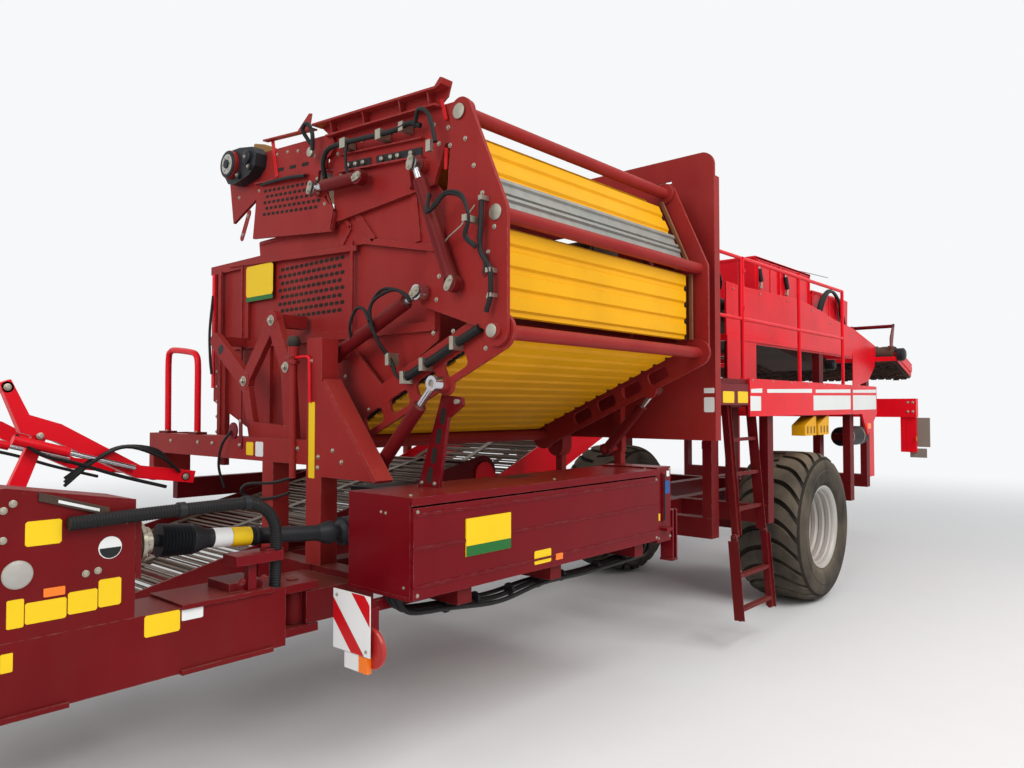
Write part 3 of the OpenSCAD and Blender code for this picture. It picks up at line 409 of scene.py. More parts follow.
class Piece:
    """One piece of the machine, gathered from plates, blocks, tubes and turned forms."""

    def __init__(self, name):
        self.name, self.finish, self.mesh, self.used, self.now = name, finishes(), bmesh.new(), [], 0

    def of(self, name):
        """The finish of what is added next."""
        if name not in self.used:
            self.used.append(name)
        self.now = self.used.index(name)
        return self

    def add(self, points, faces):
        """Points in millimetres with faces between them."""
        verts = [self.mesh.verts.new(Vector(p) / 1000) for p in points]
        for face in faces:
            made = self.mesh.faces.new([verts[i] for i in face])
            made.material_index, made.smooth = self.now, True
        return self

    def block(self, a, b):
        """Box between two opposite corners."""
        lo, hi = [min(s, t) for s, t in zip(a, b)], [max(s, t) for s, t in zip(a, b)]
        return self.plate("z", lo[2], hi[2], [(lo[0], lo[1]), (hi[0], lo[1]), (hi[0], hi[1]), (lo[0], hi[1])])

    def plate(self, axis, lo, hi, outline):
        """Flat plate: an outline in the plane across an axis, from lo to hi along it."""
        n = len(outline)
        points = [across(axis, p, lo) for p in outline] + [across(axis, p, hi) for p in outline]
        sides = [(i, (i + 1) % n, n + (i + 1) % n, n + i) for i in range(n)]
        return self.add(points, [tuple(range(n))[::-1], tuple(range(n, 2 * n))] + sides)

    def tube(self, points, radius, sides=10, ends=True):
        """Tube along points. radius is one number or one for each point."""
        points = [Vector(p) for p in points]
        n = len(points)
        radii = radius if isinstance(radius, (list, tuple)) else [radius] * n
        ahead = [(points[min(i + 1, n - 1)] - points[max(i - 1, 0)]).normalized() for i in range(n)]
        side = ahead[0].orthogonal().normalized()
        rings = []
        for i in range(n):
            if i:
                side = (side - ahead[i] * side.dot(ahead[i])).normalized()
            other = ahead[i].cross(side)
            for k in range(sides):
                turn = 2 * math.pi * k / sides
                rings.append(points[i] + radii[i] * (math.cos(turn) * side + math.sin(turn) * other))
        faces = [(i * sides + k, i * sides + (k + 1) % sides, (i + 1) * sides + (k + 1) % sides,
                  (i + 1) * sides + k) for i in range(n - 1) for k in range(sides)]
        if ends:
            faces += [tuple(range(sides))[::-1], tuple(range((n - 1) * sides, n * sides))]
        return self.add(rings, faces)

    def turned(self, axis, centre, profile, sides=24, ends=True):
        """Turned form about an axis. profile lists (radius, place along the axis)."""
        a, b, h = {"x": (1, 2, 0), "y": (0, 2, 1), "z": (0, 1, 2)}[axis]
        points = []
        for r, z in profile:
            for k in range(sides):
                turn = 2 * math.pi * k / sides
                p = [0.0, 0.0, 0.0]
                p[a], p[b] = centre[a] + r * math.cos(turn), centre[b] + r * math.sin(turn)
                p[h] = centre[h] + z
                points.append(p)
        n = len(profile)
        faces = [(i * sides + k, i * sides + (k + 1) % sides, (i + 1) * sides + (k + 1) % sides,
                  (i + 1) * sides + k) for i in range(n - 1) for k in range(sides)]
        if ends and profile[0][0] > 0.01:
            faces.append(tuple(range(sides))[::-1])
        if ends and profile[-1][0] > 0.01:
            faces.append(tuple(range((n - 1) * sides, n * sides)))
        return self.add(points, faces)

    def shell(self, axis, centre, profile, sides):
        """Turned form without end faces: its profile or its neighbours close it."""
        return self.turned(axis, centre, profile, sides, False)

    def bolts(self, axis, places, size=11.0, rise=1.0):
        """Hexagon bolts on washers. rise is 1 or -1 along the axis."""
        for p in places:
            self.turned(axis, p, [(size * 1.45, 0), (size * 1.45, rise * size * 0.25),
                                  (size * 1.3, rise * size * 0.3)], 14)
            self.turned(axis, p, [(size, rise * size * 0.2), (size, rise * size * 0.85),
                                  (size * 0.8, rise * size)], 6)
        return self

    def bolts_on(self, axis, face, places, size):
        """Bolts on one face, at places in its plane."""
        return self.bolts(axis, [across(axis, p, face) for p in places], size)

    def hose(self, points, radius, sides=10, parts=6):
        """Tube that bends smoothly through a few points."""
        return self.tube(bend(points, parts), radius, sides)

    def label(self, axis, face, low, high, rise=1.5):
        """Blank plate with clipped corners between two opposite corners, on a face."""
        (a0, b0), (a1, b1) = low, high
        c = min(abs(a1 - a0), abs(b1 - b0)) * 0.08
        return self.plate(axis, face - 1, face + rise, [(a0 + c, b0), (a1 - c, b0), (a1, b0 + c),
                                                        (a1, b1 - c), (a1 - c, b1), (a0 + c, b1),
                                                        (a0, b1 - c), (a0, b0 + c)])

    def done(self, body, slot, bevel=0.0, replaces=()):
        """Turns what was gathered into an object that rides on a body."""
        bmesh.ops.remove_doubles(self.mesh, verts=self.mesh.verts, dist=1e-6)
        bmesh.ops.recalc_face_normals(self.mesh, faces=self.mesh.faces)
        data = bpy.data.meshes.new(self.name)
        self.mesh.to_mesh(data)
        self.mesh.free()
        data.set_sharp_from_angle(angle=SHARP_FROM)
        for name in self.used:
            data.materials.append(self.finish[name])
        piece = bpy.data.objects.new(self.name, data)
        bpy.context.scene.collection.objects.link(piece)
        if bevel:
            edge = piece.modifiers.new("edges", "BEVEL")
            edge.width, edge.segments, edge.limit_method = bevel / 1000, 1, "ANGLE"
            edge.angle_limit = BEVEL_FROM
            edge.harden_normals = True
        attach(piece, body)
        if replaces:
            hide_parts(*replaces)
        return piece


# Finish of the frame's own parts

# All red finishes are one paint. The shaded, drawbar and frame reds carry painted shade, the sunlit red
# carries painted sunlight, and the boom's red lies halfway with dust
NODE_FINISH = {
    "shaded red": ["side_box", "box_door", "tank_block"],
    "shaded beam red": ["drawbar", "drawbar_cover"],
    "half lit dusty red": ["front_frame", "bunker_front_wall", "bunker_rear_wall", "bunker_floor", "tall_plate",
                 "boom_lower_frame", "boom_mid_frame", "boom_top_frame", "boom_end_frame"],
    "shaded frame red": ["main_frame", "deck_posts", "axle_beam", "knuckle_left", "knuckle_right", "lift_barrels",
                  "fold_barrels", "top_barrels", "end_barrel", "platform", "ladder", "ladder_foot",
                  "intake_frame"],
    "sunlit red": ["hood", "skirt", "guard_rail", "gate", "web_cheeks", "rear_bar"],
    "yellow": ["boom_lower_belt", "boom_mid_belt", "boom_top_belt", "boom_end_belt", "stowage"],
    "white film": ["marker_board"],
    "steel": ["web_front", "web_rear", "shares", "coulter_discs"],
    "silver": ["jack_leg", "rim_left", "rim_right", "diabolo_rollers"],
    "chrome": ["lift_rods", "fold_rods", "top_rods", "end_rod"],
    "tyre": ["tyre_left", "tyre_right"],
    "rubber": ["separator", "picking_table", "rear_web"],
    "plastic": ["pto_shaft", "gearbox"],
}


class HARVESTER_OT_paint(bpy.types.Operator):
    """Makes the finishes and puts them on the frame's own parts"""
    bl_idname = "harvester.paint"
    bl_label = "Paint the frame"

    def execute(self, context):
        for make in (make_dust, make_wear, make_drift):
            make()
        finish = finishes()
        for name, nodes in NODE_FINISH.items():
            for node in nodes:
                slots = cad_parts[node].data.materials
                slots.clear()
                slots.append(finish[name])
        bare = set(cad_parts) - {n for nodes in NODE_FINISH.values() for n in nodes}
        if bare:
            raise RuntimeError("no finish for " + ", ".join(sorted(bare)))
        return {"FINISHED"}


CAMERA_AT = (5.40, 4.17, 1.94)  # metres
CAMERA_TURN = 41.4      # degrees from straight to the rear towards the machine's right
CAMERA_TILT = 1.71      # degrees upward


class HARVESTER_OT_camera(bpy.types.Operator):
    """Places the camera at the photograph's viewpoint"""
    bl_idname = "harvester.camera"
    bl_label = "Camera"

    def execute(self, context):
        data = bpy.data.cameras.new("view")
        data.sensor_width, data.sensor_fit = 36.0, "HORIZONTAL"
        data.lens = settings("stage").lens
        data.clip_end = 200.0
        camera = bpy.data.objects.new("view", data)
        camera.location = CAMERA_AT
        turn, tilt = math.radians(CAMERA_TURN), math.radians(CAMERA_TILT)
        ahead = Vector((-math.cos(turn) * math.cos(tilt), -math.sin(turn) * math.cos(tilt), math.sin(tilt)))
        camera.rotation_euler = ahead.to_track_quat("-Z", "Y").to_euler()
        context.scene.collection.objects.link(camera)
        context.scene.camera = camera
        return {"FINISHED"}


BACKGROUND = (0.93, 0.94, 0.95, 1)      # what the camera and mirrors see all round
SKY_LIGHT = (0.95, 0.97, 1.0, 1)
FADE = (7.0, 20.0)      # metres from the middle between which the floor turns into the background
LAMP_AIM = Vector((0, 0, 1.2))


def lay_floor(context, pale):
    """Pale floor that fades into the background far from the machine."""
    mesh = bmesh.new()
    bmesh.ops.create_grid(mesh, x_segments=8, y_segments=8, size=45.0)
    data = bpy.data.meshes.new("floor")
    mesh.to_mesh(data)
    mesh.free()
    floor = bpy.data.objects.new("floor", data)
    floor.location = (0.0, 0.0, -0.002)
    ground = coat("studio_floor", pale, 0.75, dust=0.0, up=0.0, low=0.0, drift=0.02, bump=0.02)
    data.materials.append(ground)
    tree = ground.node_tree
    spot = tree.nodes.new("ShaderNodeNewGeometry")
    reach = tree.nodes.new("ShaderNodeVectorMath")
    reach.operation = "LENGTH"
    tree.links.new(spot.outputs["Position"], reach.inputs[0])
    far = tree.nodes.new("ShaderNodeMapRange")
    far.interpolation_type = "SMOOTHSTEP"
    far.inputs["From Min"].default_value, far.inputs["From Max"].default_value = FADE
    tree.links.new(reach.outputs["Value"], far.inputs["Value"])
    haze = tree.nodes.new("ShaderNodeEmission")
    haze.inputs["Color"].default_value = BACKGROUND
    fade = tree.nodes.new("ShaderNodeMixShader")
    mask = math_node(tree, "MULTIPLY", far.outputs["Result"], background_mask(tree))
    tree.links.new(mask, fade.inputs[0])
    tree.links.new(tree.nodes["Principled BSDF"].outputs[0], fade.inputs[1])
    tree.links.new(haze.outputs[0], fade.inputs[2])
    tree.links.new(fade.outputs[0], tree.nodes["Material Output"].inputs["Surface"])
    context.scene.collection.objects.link(floor)


def light_sky(context, strength):
    """World that lights softly from all round and is seen as a pale background."""
    world = bpy.data.worlds.new("studio")
    context.scene.world = world
    world.use_nodes = True
    tree = world.node_tree
    tree.nodes.clear()
    end = tree.nodes.new("ShaderNodeOutputWorld")
    both = tree.nodes.new("ShaderNodeMixShader")
    tree.links.new(background_mask(tree), both.inputs[0])
    for socket, colour_of, power in ((1, SKY_LIGHT, strength), (2, BACKGROUND, 1.0)):
        light = tree.nodes.new("ShaderNodeBackground")
        light.inputs["Color"].default_value = colour_of
        light.inputs["Strength"].default_value = power
        tree.links.new(light.outputs[0], both.inputs[socket])
    tree.links.new(both.outputs[0], end.inputs["Surface"])


class HARVESTER_OT_stage(bpy.types.Operator):
    """Lays the pale floor and sets the soft light"""
    bl_idname = "harvester.stage"
    bl_label = "Floor and light"

    def execute(self, context):
        stage = settings("stage")
        lay_floor(context, tuple(stage.floor))
        light_sky(context, stage.sky)
        for name, place, power, size in (("key", (1.0, 11.0, 11.0), stage.key, 9.0),
                                         ("front", (13.0, 2.0, 7.0), stage.key * 0.45, 7.0)):
            lamp = bpy.data.lights.new(name, "AREA")
            lamp.energy, lamp.size = power, size
            thing = bpy.data.objects.new(name, lamp)
            thing.location = place
            thing.rotation_euler = (LAMP_AIM - Vector(place)).to_track_quat("-Z", "Y").to_euler()
            context.scene.collection.objects.link(thing)
        context.scene.view_settings.view_transform = "Standard"
        return {"FINISHED"}


# Wheels

TREAD = [(742.0, 0.0), (741.0, 120.0), (737.0, 215.0), (722.0, 272.0), (690.0, 312.0)]  # radius, reach
SHOULDER = 0.55         # share of the tread's line from which it leans outward


def tread_place(turn, s, side, rise):
    """Point below the tread: turn in radians, s from 0 at the middle to 1 down the shoulder."""
    at = s * (len(TREAD) - 1)
    i = min(int(at), len(TREAD) - 2)
    t = at - i
    r = TREAD[i][0] * (1 - t) + TREAD[i + 1][0] * t
    y = TREAD[i][1] * (1 - t) + TREAD[i + 1][1] * t
    lean = max(0.0, (s - SHOULDER) / 0.45)
    r, y = r - rise * (1 - 0.55 * lean), y - rise * 0.75 * lean
    return AXLE[0] + r * math.cos(turn), side * WHEEL_Y + y, AXLE[1] + r * math.sin(turn)


def lug(k, j):
    """Number of a lug's point in row k and column j."""
    return k * 3 + j


def tyre(name, side):
    """Carcass with two rows of slanted lugs, each a bent block that follows the tread."""
    tune = settings("tyre")
    height, count = tune.lug_height * 1000, tune.lugs
    piece = Piece("tyre_with_lugs_" + name).of("groove")
    half = [(381.0, 291.0), (412.0, 303.0), (432.0, 326.0), (436.0, 332.0), (470.0, 346.0),
            (520.0, 353.5), (561.0, 355.0), (566.0, 350.0), (600.0, 350.0), (650.0, 336.0),
            (664.0, 330.0), (690.0, 293.0), (694.0, 262.0), (703.0, 205.0), (708.0, 100.0)]
    middle = (AXLE[0], side * WHEEL_Y, AXLE[1])
    wall, crown = half[:11], half[10:]
    for wing in (-1, 1):
        piece.of("tyre").shell("y", middle, [(r, wing * y) for r, y in wall], 96)
    # Crown between the lugs in the groove finish, darkened as painted shade
    piece.of("groove").shell("y", middle, [(r, -y) for r, y in crown] + [(r, y) for r, y in crown[::-1]], 96)
    piece.shell("y", middle, [(381.0, -291.0), (381.0, 291.0)], 96)
    piece.of("tyre")
    pitch = 2 * math.pi / count
    open_part = tune.groove * 1000 / TREAD[0][0]
    rows, root = 9, 6   # root: how far a lug reaches into the carcass
    for wing in (-1, 1):
        for i in range(count):
            start = (i + 0.25 * wing) * pitch
            top, foot = [], []
            for k in range(rows + 1):
                s = k / rows
                slant = pitch * (0.55 * s + 0.75 * max(0.0, s - 0.3))
                for j in range(3):
                    spread = (pitch - open_part) * (j / 2 - 0.5) * (1.0 - 0.12 * s)
                    turn = start - slant * side + spread
                    place = tread_place(turn, s, side, 0.0)
                    low = tread_place(turn, s, side, height + root)
                    for rack, p in ((top, place), (foot, low)):
                        y = p[1] - side * WHEEL_Y
                        rack.append((p[0], side * WHEEL_Y + wing * y, p[2]))
            n = len(top)
            faces = [(lug(k, j), lug(k, j + 1), lug(k + 1, j + 1),
                      lug(k + 1, j)) for k in range(rows) for j in range(2)]
            for k in range(rows):
                faces += [(lug(k, 0), lug(k + 1, 0), n + lug(k + 1, 0), n + lug(k, 0)),
                          (lug(k + 1, 2), lug(k, 2), n + lug(k, 2), n + lug(k + 1, 2))]
            for j in range(2):
                faces += [(lug(0, j + 1), lug(0, j), n + lug(0, j), n + lug(0, j + 1)),
                          (lug(rows, j), lug(rows, j + 1), n + lug(rows, j + 1), n + lug(rows, j))]
            piece.add(top + foot, faces)
    return piece.done("wheel_" + name, "tyre", replaces=("tyre_" + name,))


def rim(name, side):
    """Deep rim with stepped beds on both sides, its hub, nuts and valve."""
    piece = Piece("stepped_rim_" + name).of("silver")
    middle = (AXLE[0], side * WHEEL_Y, AXLE[1])
    flange = [(381, 292), (409, 304), (410, 314), (402, 315), (392, 310), (376, 300), (366, 286)]
    bed = [(364, 262), (350, 250), (350, 214), (360, 206), (338, 186), (338, 150), (350, 142), (322, 116),
           (322, 84), (332, 76), (318, 50), (318, 30)]
    outer = [(r, side * y) for r, y in flange + bed]
    inner = [(r, -side * y) for r, y in flange + bed]
    piece.shell("y", middle, outer + [(180, side * 22), (168, side * 30), (130, side * 34),
                                      (130, side * 6), (180, side * 4), (312, side * 8),
                                      (312, -side * 30)] + inner[::-1] + [(380, -side * 291),
            (380, side * 291), (381, side * 292)], 64)
    piece.of("shaded frame red").turned("y", middle, [(129, side * 10), (129, side * 52), (116, side * 62),
                                               (84, side * 66), (80, side * 118), (70, side * 126),
                                               (0, side * 126)], 40)
    nuts = ring("y", (AXLE[0], middle[1] + side * 33, AXLE[1]), 148, 10)
    piece.of("zinc").bolts("y", nuts, 13, side)
    piece.of("rubber").tube([(AXLE[0] + 300, middle[1] + side * 32, AXLE[1] + 40),
                             (AXLE[0] + 300, middle[1] + side * 96, AXLE[1] + 40)], [9, 5], 10)
    return piece.done("wheel_" + name, "silver", replaces=("rim_" + name,))


class HARVESTER_OT_wheels(bpy.types.Operator):
    """Tyres with angled lugs on deep stepped rims with their hubs and nuts"""
    bl_idname = "harvester.wheels"
    bl_label = "Wheels"

    def execute(self, context):
        for name, side in (("left", 1), ("right", -1)):
            tyre(name, side)
            rim(name, side)
        return {"FINISHED"}


# Drawbar, drive shaft and hoses

class HARVESTER_OT_drawbar(bpy.types.Operator):
    """Blank plates, lamps, bolts and the rubber strip of the drawbar, and the corrugated hose on it"""
    bl_idname = "harvester.drawbar"
    bl_label = "Drawbar fittings"

    def execute(self, context):
        y = BEAM_FACE
        part = Piece("drawbar_fittings").of("yellow film")
        for low, high in (((4313, 1417), (4438, 1511)), ((4437, 1122), (4494, 1228)),
                          ((4292, 1128), (4434, 1208)), ((4180, 1136), (4288, 1222)),
                          ((4090, 1142), (4177, 1252)), ((3845, 982), (3996, 1072)),
                          ((4470, 966), (4511, 1036))):
            part.label("y", y, low, high)
        part.of("white film").label("y", y, (3742, 1019), (3838, 1076))
        part.of("orange lens").label("y", y, (4299, 1219), (4374, 1252), 6)
        part.of("grey lens").turned("y", (4461, y, 1318), [(50, -2), (50, 4), (44, 8), (0, 9)], 32)
        part.of("zinc").turned("y", (4461, y, 1318), [(53, -1), (53, 3), (49, 4)], 32)
        part.of("white film").turned("y", (4135, y, 1375), [(45, -1), (45, 2), (40, 3), (0, 3)], 28)
        part.of("plastic").plate("y", y, y + 5, [(4135 + 41 * math.cos(a),
                                                  1375 + 41 * math.sin(a))
                                                 for a in [math.pi * (1 + k / 12) for k in range(13)]])
        part.of("rubber").plate("y", y - 1, y + 9, [(4396, 1585), (4396, 1618), (4142, 1536), (4142, 1503)])
        part.of("white film").plate("y", y + 8, y + 10, [(4330, 1572), (4330, 1584), (4180, 1536),
                                                         (4180, 1524)])
        part.of("zinc").bolts("y", [(4479, y, 1582), (4075, y, 1478), (4510, y, 1559), (4510, y, 1450),
                                    (4180, y, 1290), (4225, y, 1285), (5140, y, 1590), (5140, y, 1120),
                                    (4700, y, 1590), (4700, y, 1120)], 10)
        part.of("shaded beam red").bolts("y", [(3450, y, 1140), (3560, y, 1140)], 12)
        # Ring flange of the drive line and its cone
        part.of("zinc").turned("x", (3960, 770, 1360), [(60, -30), (60, 0), (86, 2), (86, 20), (66, 24),
                                                        (66, 48)], 32)
        part.bolts("x", ring("x", (3960, 770, 1360), 74, 8), 7, -1.0)
        # Padded bracket over the swing pivot, with its foot
        part.of("shaded red")
        part.block((3360, 800, 1216), (3600, 925, 1262)).block((3350, 846, 1261), (3440, 910, 1272))
        part.block((3480, 850, 1085), (3520, 890, 1220))
        part.of("zinc").bolts("z", [(3380, 886, 1272)], 7)
        part.done("drawbar", "dark_red", 1.2)
        cover = Piece("drive_cover").of("shaded beam red")
        side = [(4035, 1074), (4035, 1560), (4500, 1640), (5180, 1640), (5180, 1000), (4900, 1070)]
        for y0 in (600, 888):
            cover.plate("y", y0, y0 + 12, side)
        cover.plate("y", 600.5, 899.5, [(4035.5, 1548), (4035.5, 1559.5), (4500, 1639.5), (5179, 1639.5),
                                        (5179, 1627), (4500, 1627)])
        cover.block((5160, 600.5, 1100), (5179.5, 899.5, 1639))
        cover.block((4006, 612, 1230), (4030, 888, 1470))
        cover.turned("x", (5180, 750, 1360), [(70, -2), (70, 60), (17.45, 60), (17.45, 150)], 32)
        cover.done("drawbar", "dark_red", 1.2, replaces=("drawbar_cover",))
        tune = settings("hose")
        r = tune.bundle_radius * 1000
        route = bend([(4300, 929, 1490), (4100, 929, 1496), (3900, 929, 1500), (3600, 929, 1502),
                      (3520, 929, 1492), (3450, 923, 1455), (3405, 915, 1390), (3385, 899, 1300),
                      (3375, 879, 1200), (3372, 869, 1081)], 8)
        step = tune.rib_pitch * 500
        line = walk(route, step)
        hose = Piece("corrugated_hose").of("hose")
        hose.tube(line, [r * (1.0 if i % 2 else 0.92) for i in range(len(line))], 14)
        hose.of("plastic")
        for place in (3860.0, 3560.0):
            clamp = [Vector((place + d, 929, 1501)) for d in (-16, -15, 15, 16)]
            hose.tube(clamp, [r, r + 5, r + 5, r], 16)
        hose.done("drawbar", "plastic")
        return {"FINISHED"}


class HARVESTER_OT_drive_shaft(bpy.types.Operator):
    """Guarded drive shaft with its bellows, and the ribbed guard of the gearbox's input"""
    bl_idname = "harvester.drive_shaft"
    bl_label = "Drive shaft"

    def execute(self, context):
        rear, front = Vector((2990, 820, 1290)), Vector((3930, 770, 1360))
        part = Piece("guarded_drive_shaft").of("plastic")

        def spot(t):
            return rear + (front - rear) * t

        def bellows(t0, t1, wide, narrow):
            n = 20
            part.tube([spot(t0 + (t1 - t0) * i / n) for i in range(n + 1)],
                      [wide + (narrow - wide) * i / n - (13 if i % 2 else 0) for i in range(n + 1)], 28)

        bellows(0.955, 0.80, 74, 70)
        part.tube([spot(0.94), spot(0.985)], 27, 16)
        part.tube([spot(0.80), spot(0.77), spot(0.74), spot(0.72)], [70, 62, 48, 44], 28)
        part.tube([spot(0.03), spot(0.05), spot(0.09), spot(0.12)], [58, 60, 48, 40], 28)
        part.tube([spot(0.10), spot(0.47)], 39.5, 28)
        part.tube([spot(0.45), spot(0.46), spot(0.72)], [38, 44, 44], 28)
        part.tube([spot(0.465), spot(0.47), spot(0.478), spot(0.483)], [44, 47, 47, 44], 28)
        part.of("white film").tube([spot(0.61), spot(0.70)], 44.8, 28)
        part.of("yellow film").tube([spot(0.508), spot(0.608)], 44.8, 28)
        part.done("pto_shaft", "plastic", replaces=("pto_shaft",))
        guard = Piece("input_guard").of("plastic")
        ribs = [(2696 + 13 * i, 820, 1290) for i in range(21)]
        guard.tube(ribs, [79 - i * 0.2 - (13 if i % 2 else 0) for i in range(21)], 28)
        guard.tube([(2640, 820, 1290), (2690, 820, 1290), (2696, 820, 1290)], [60, 60, 76], 28)
        guard.tube([(2950, 820, 1290), (2966, 820, 1290), (2984, 820, 1290)], [66, 54, 30], 28)
        guard.done("chassis", "plastic")
        return {"FINISHED"}


class HARVESTER_OT_marker(bpy.types.Operator):
    """Striped board with its lamp and round reflector on their arm"""
    bl_idname = "harvester.marker"
    bl_label = "Marker board"

    def execute(self, context):
        part = Piece("striped_board")
        x, y0, y1, z0, z1 = 3150.4, 1031, 1311, 781, 1061   # the board's face and its edges
        part.of("red film")
        for shift in (-140, 140):
            # Each stripe runs from upper left to lower right, cut to the board
            stripe = [(y0 - 400 + shift, z1 + 400), (y0 - 300 + shift, z1 + 400),
                      (y1 + 500 + shift, z0 - 400), (y1 + 400 + shift, z0 - 400)]
            part.plate("x", x - 0.2, x + 0.8, clip_to(stripe, y0, y1, z0, z1))
        part.of("white film").block((3120, 1115, 700), (3146, 1225, 775)).of("orange lens")
        part.block((3120, 1225, 700), (3147, 1290, 775))
        part.of("red lens").turned("x", (3105, 1284, 812), [(95, 0), (95, 12), (88, 18), (0, 20)], 36)
        part.of("zinc").bolts("x", [(3151, 1060, 1035), (3151, 1285, 805)], 6)
        part.of("shaded red")
        part.block((3050, 1215, 770), (3110, 1255, 990)).block((3105, 1150, 950), (3145, 1255, 990))
        part.plate("x", 2652, 3144, [(1148.5, 948.5), (1191.5, 948.5), (1191.5, 1001.5), (1148.5, 1001.5)])
        part.done("chassis", "white", 0.6)
        return {"FINISHED"}


def clip_to(outline, a0, a1, b0, b1):
    """Outline cut to a box, one side after the other."""
    for axis, limit, keep_high in ((0, a0, True), (0, a1, False), (1, b0, True), (1, b1, False)):
        kept = []
        for p, q in zip(outline, outline[1:] + outline[:1]):
            inside = lambda v: (v[axis] >= limit) == keep_high
            if inside(p):
                kept.append(p)
            if inside(p) != inside(q):
                t = (limit - p[axis]) / (q[axis] - p[axis])
                kept.append((p[0] + t * (q[0] - p[0]), p[1] + t * (q[1] - p[1])))
        outline = kept
    return outline


# Side box and tank

class HARVESTER_OT_side_box(bpy.types.Operator):
    """Rivets, blank plates and reflector of the side box, with the gauge and step of the tank"""
    bl_idname = "harvester.side_box"
    bl_label = "Side box fittings"

    def execute(self, context):
        y = BOX_FACE
        door = Piece("box_door_fittings").of("yellow film")
        door.plate("y", 1407, 1415.5, [(2283, 1183), (2624, 1183), (2624, 1374), (2283, 1374)])
        door.of("green film").plate("y", 1415, 1416, [(2283.5, 1183.5), (2623.5, 1183.5), (2623.5, 1236),
                                                      (2283.5, 1236)])
        door.of("yellow film").label("y", 1408, (1930, 1058), (2079, 1134), 2.5)
        door.of("orange lens").label("y", 1408, (1826, 1058), (1890, 1094), 7)
        door.of("zinc").bolts("y", [(x, 1408, z) for x in (770, 2945) for z in (1045, 1440)], 7)
        door.done("box_door", "dark_red", 0.8)
        part = Piece("side_box_fittings").of("zinc")
        part.bolts("x", [(2980, 1180, 1425), (2980, 1215, 1422), (2980, 1350, 1080)], 6)
        part.of("shaded red").plate("x", 2980, 2984, [(935, 1030), (1394, 1030), (1394, 1040), (935, 1040)])
        part.of("zinc").bolts("z", [(2920, 1330, 1510), (1800, 1330, 1510), (790, 1330, 1510)], 8)
        part.of("plastic").plate("z", 1509.5, 1511, [(1700, 1000), (1900, 1000), (1900, 1100), (1700, 1100)])
        part.of("zinc").bolts("x", [(2587, 1040, 1530), (2587, 1140, 1530)], 9)
        part.of("blue film").label("y", 1390, (560, 1330), (640, 1420))
        part.of("yellow film").label("y", 1390, (690, 1150), (725, 1200))
        part.of("white film").label("y", 1390, (560, 1450), (600, 1490))
        part.of("plastic").tube([(655, 1404, 1150), (655, 1404, 1470)], 7, 10)
        part.of("zinc").bolts("y", [(x, 1390, z) for x in (560, 715) for z in (1030, 1500)], 8)
        part.done("chassis", "dark_red", 0.8)
        stiles = Piece("ladder_stiles").of("shaded frame red")
        top, joint, foot = (1318, 2122), (1418, 912), (1471, 252)
        for x in (-920, -456):
            stiles.plate("x", x, x + 6, bar(top, joint, 88))
        stiles.done("chassis", "dark_red", 1.0)
        stiles = Piece("ladder_foot_stiles").of("shaded frame red")
        for x in (-990, -380):
            stiles.plate("x", x, x + 6, bar((1422, 872), foot, 88))
        stiles.done("ladder_foot", "dark_red", 1.0)
        hoses = Piece("box_hoses").of("hose")
        for k, shift in enumerate((0, 46, 92)):
            z = 915 - 6 * k
            line = bend([(2960, 1190 + shift, 1018), (2880, 1190 + shift, z + 30),
                         (2600, 1192 + shift, z), (2230, 1190 + shift, z - 20 - 8 * k),
                         (1850, 1192 + shift, z), (1400, 1190 + shift, z - 24 + 7 * k),
                         (950, 1190 + shift, z), (700, 1185 + shift, z + 14), (640, 1180 + shift, 999)],
                        8)
            hoses.tube(walk(line, 24), 13 + 2 * (k % 2), 10)
        hoses.of("plastic")
        for x in (2600, 2380, 2100, 1850, 1620, 1250, 950):
            hoses.tube([(x - 9, 1238, 905), (x - 8, 1238, 905), (x + 8, 1238, 905), (x + 9, 1238, 905)],
                       [30, 36, 36, 30], 12)
        hoses.done("chassis", "plastic")
        return {"FINISHED"}


# Bunker and unloading boom

# Pins and kinks of the folded boom, as (y, z)
BOOM_PIN, KINK_LOW, KINK_HIGH = (300, 1720), (1650, 2310), (1650, 2890)
TOP_PIN, END_PIN, DRIVE_PIN = (1400, 3450), (250, 3530), (-740, 3600)
BELT_FACE = 38.3        # outer face of a belt, inward from the line between two pins


def along(p, q, s, off=0.0):
    """Point (y, z) s along the line from p to q, off to its inner side."""
    n = math.dist(p, q)
    a, b = (q[0] - p[0]) / n, (q[1] - p[1]) / n
    return p[0] + a * s - b * off, p[1] + b * s + a * off


def rounded(middle, long, wide, turn, n=5):
    """Outline with round ends about a middle point, turned by an angle in radians."""
    h, r = long / 2 - wide / 2, wide / 2
    turns = [math.pi * (k / n - 0.5) for k in range(n + 1)]
    rim_line = [(h + r * math.cos(a), r * math.sin(a)) for a in turns]
    rim_line += [(-x, -y) for x, y in rim_line]
    c, s = math.cos(turn), math.sin(turn)
    return [(middle[0] + c * x - s * y, middle[1] + s * x + c * y) for x, y in rim_line]


def pin_lock(part, x, p, turn=0.6):
    """Oblong plate with two bolts that holds a cylinder's pin."""
    part.of("zinc").plate("x", x, x + 7, rounded(p, 84, 44, turn))
    c, s = math.cos(turn) * 22, math.sin(turn) * 22
    part.bolts("x", [(x + 7, p[0] - c, p[1] - s), (x + 7, p[0] + c, p[1] + s)], 9)


LINK = 38               # pitch of the chain beside a belt


def belt_chain(part, p, q, start, end, xs=((2543, 2562), (688, 707))):
    """Chain beside a belt: dark links with bright rollers."""
    n = int((math.dist(p, q) - start - end) / LINK)
    turn = math.atan2(q[1] - p[1], q[0] - p[0])
    for x0, x1 in xs:
        for i in range(n):
            middle = along(p, q, start + LINK * (i + 0.5), BELT_FACE + 22)
            part.of("hose").plate("x", x0 + 3 * (i % 2), x1 - 3 * (i % 2), rounded(middle, 50, 30, turn, 3))
            part.of("zinc").turned("x", (x0, *middle), [(7, -1), (7, x1 - x0 + 1)], 8)


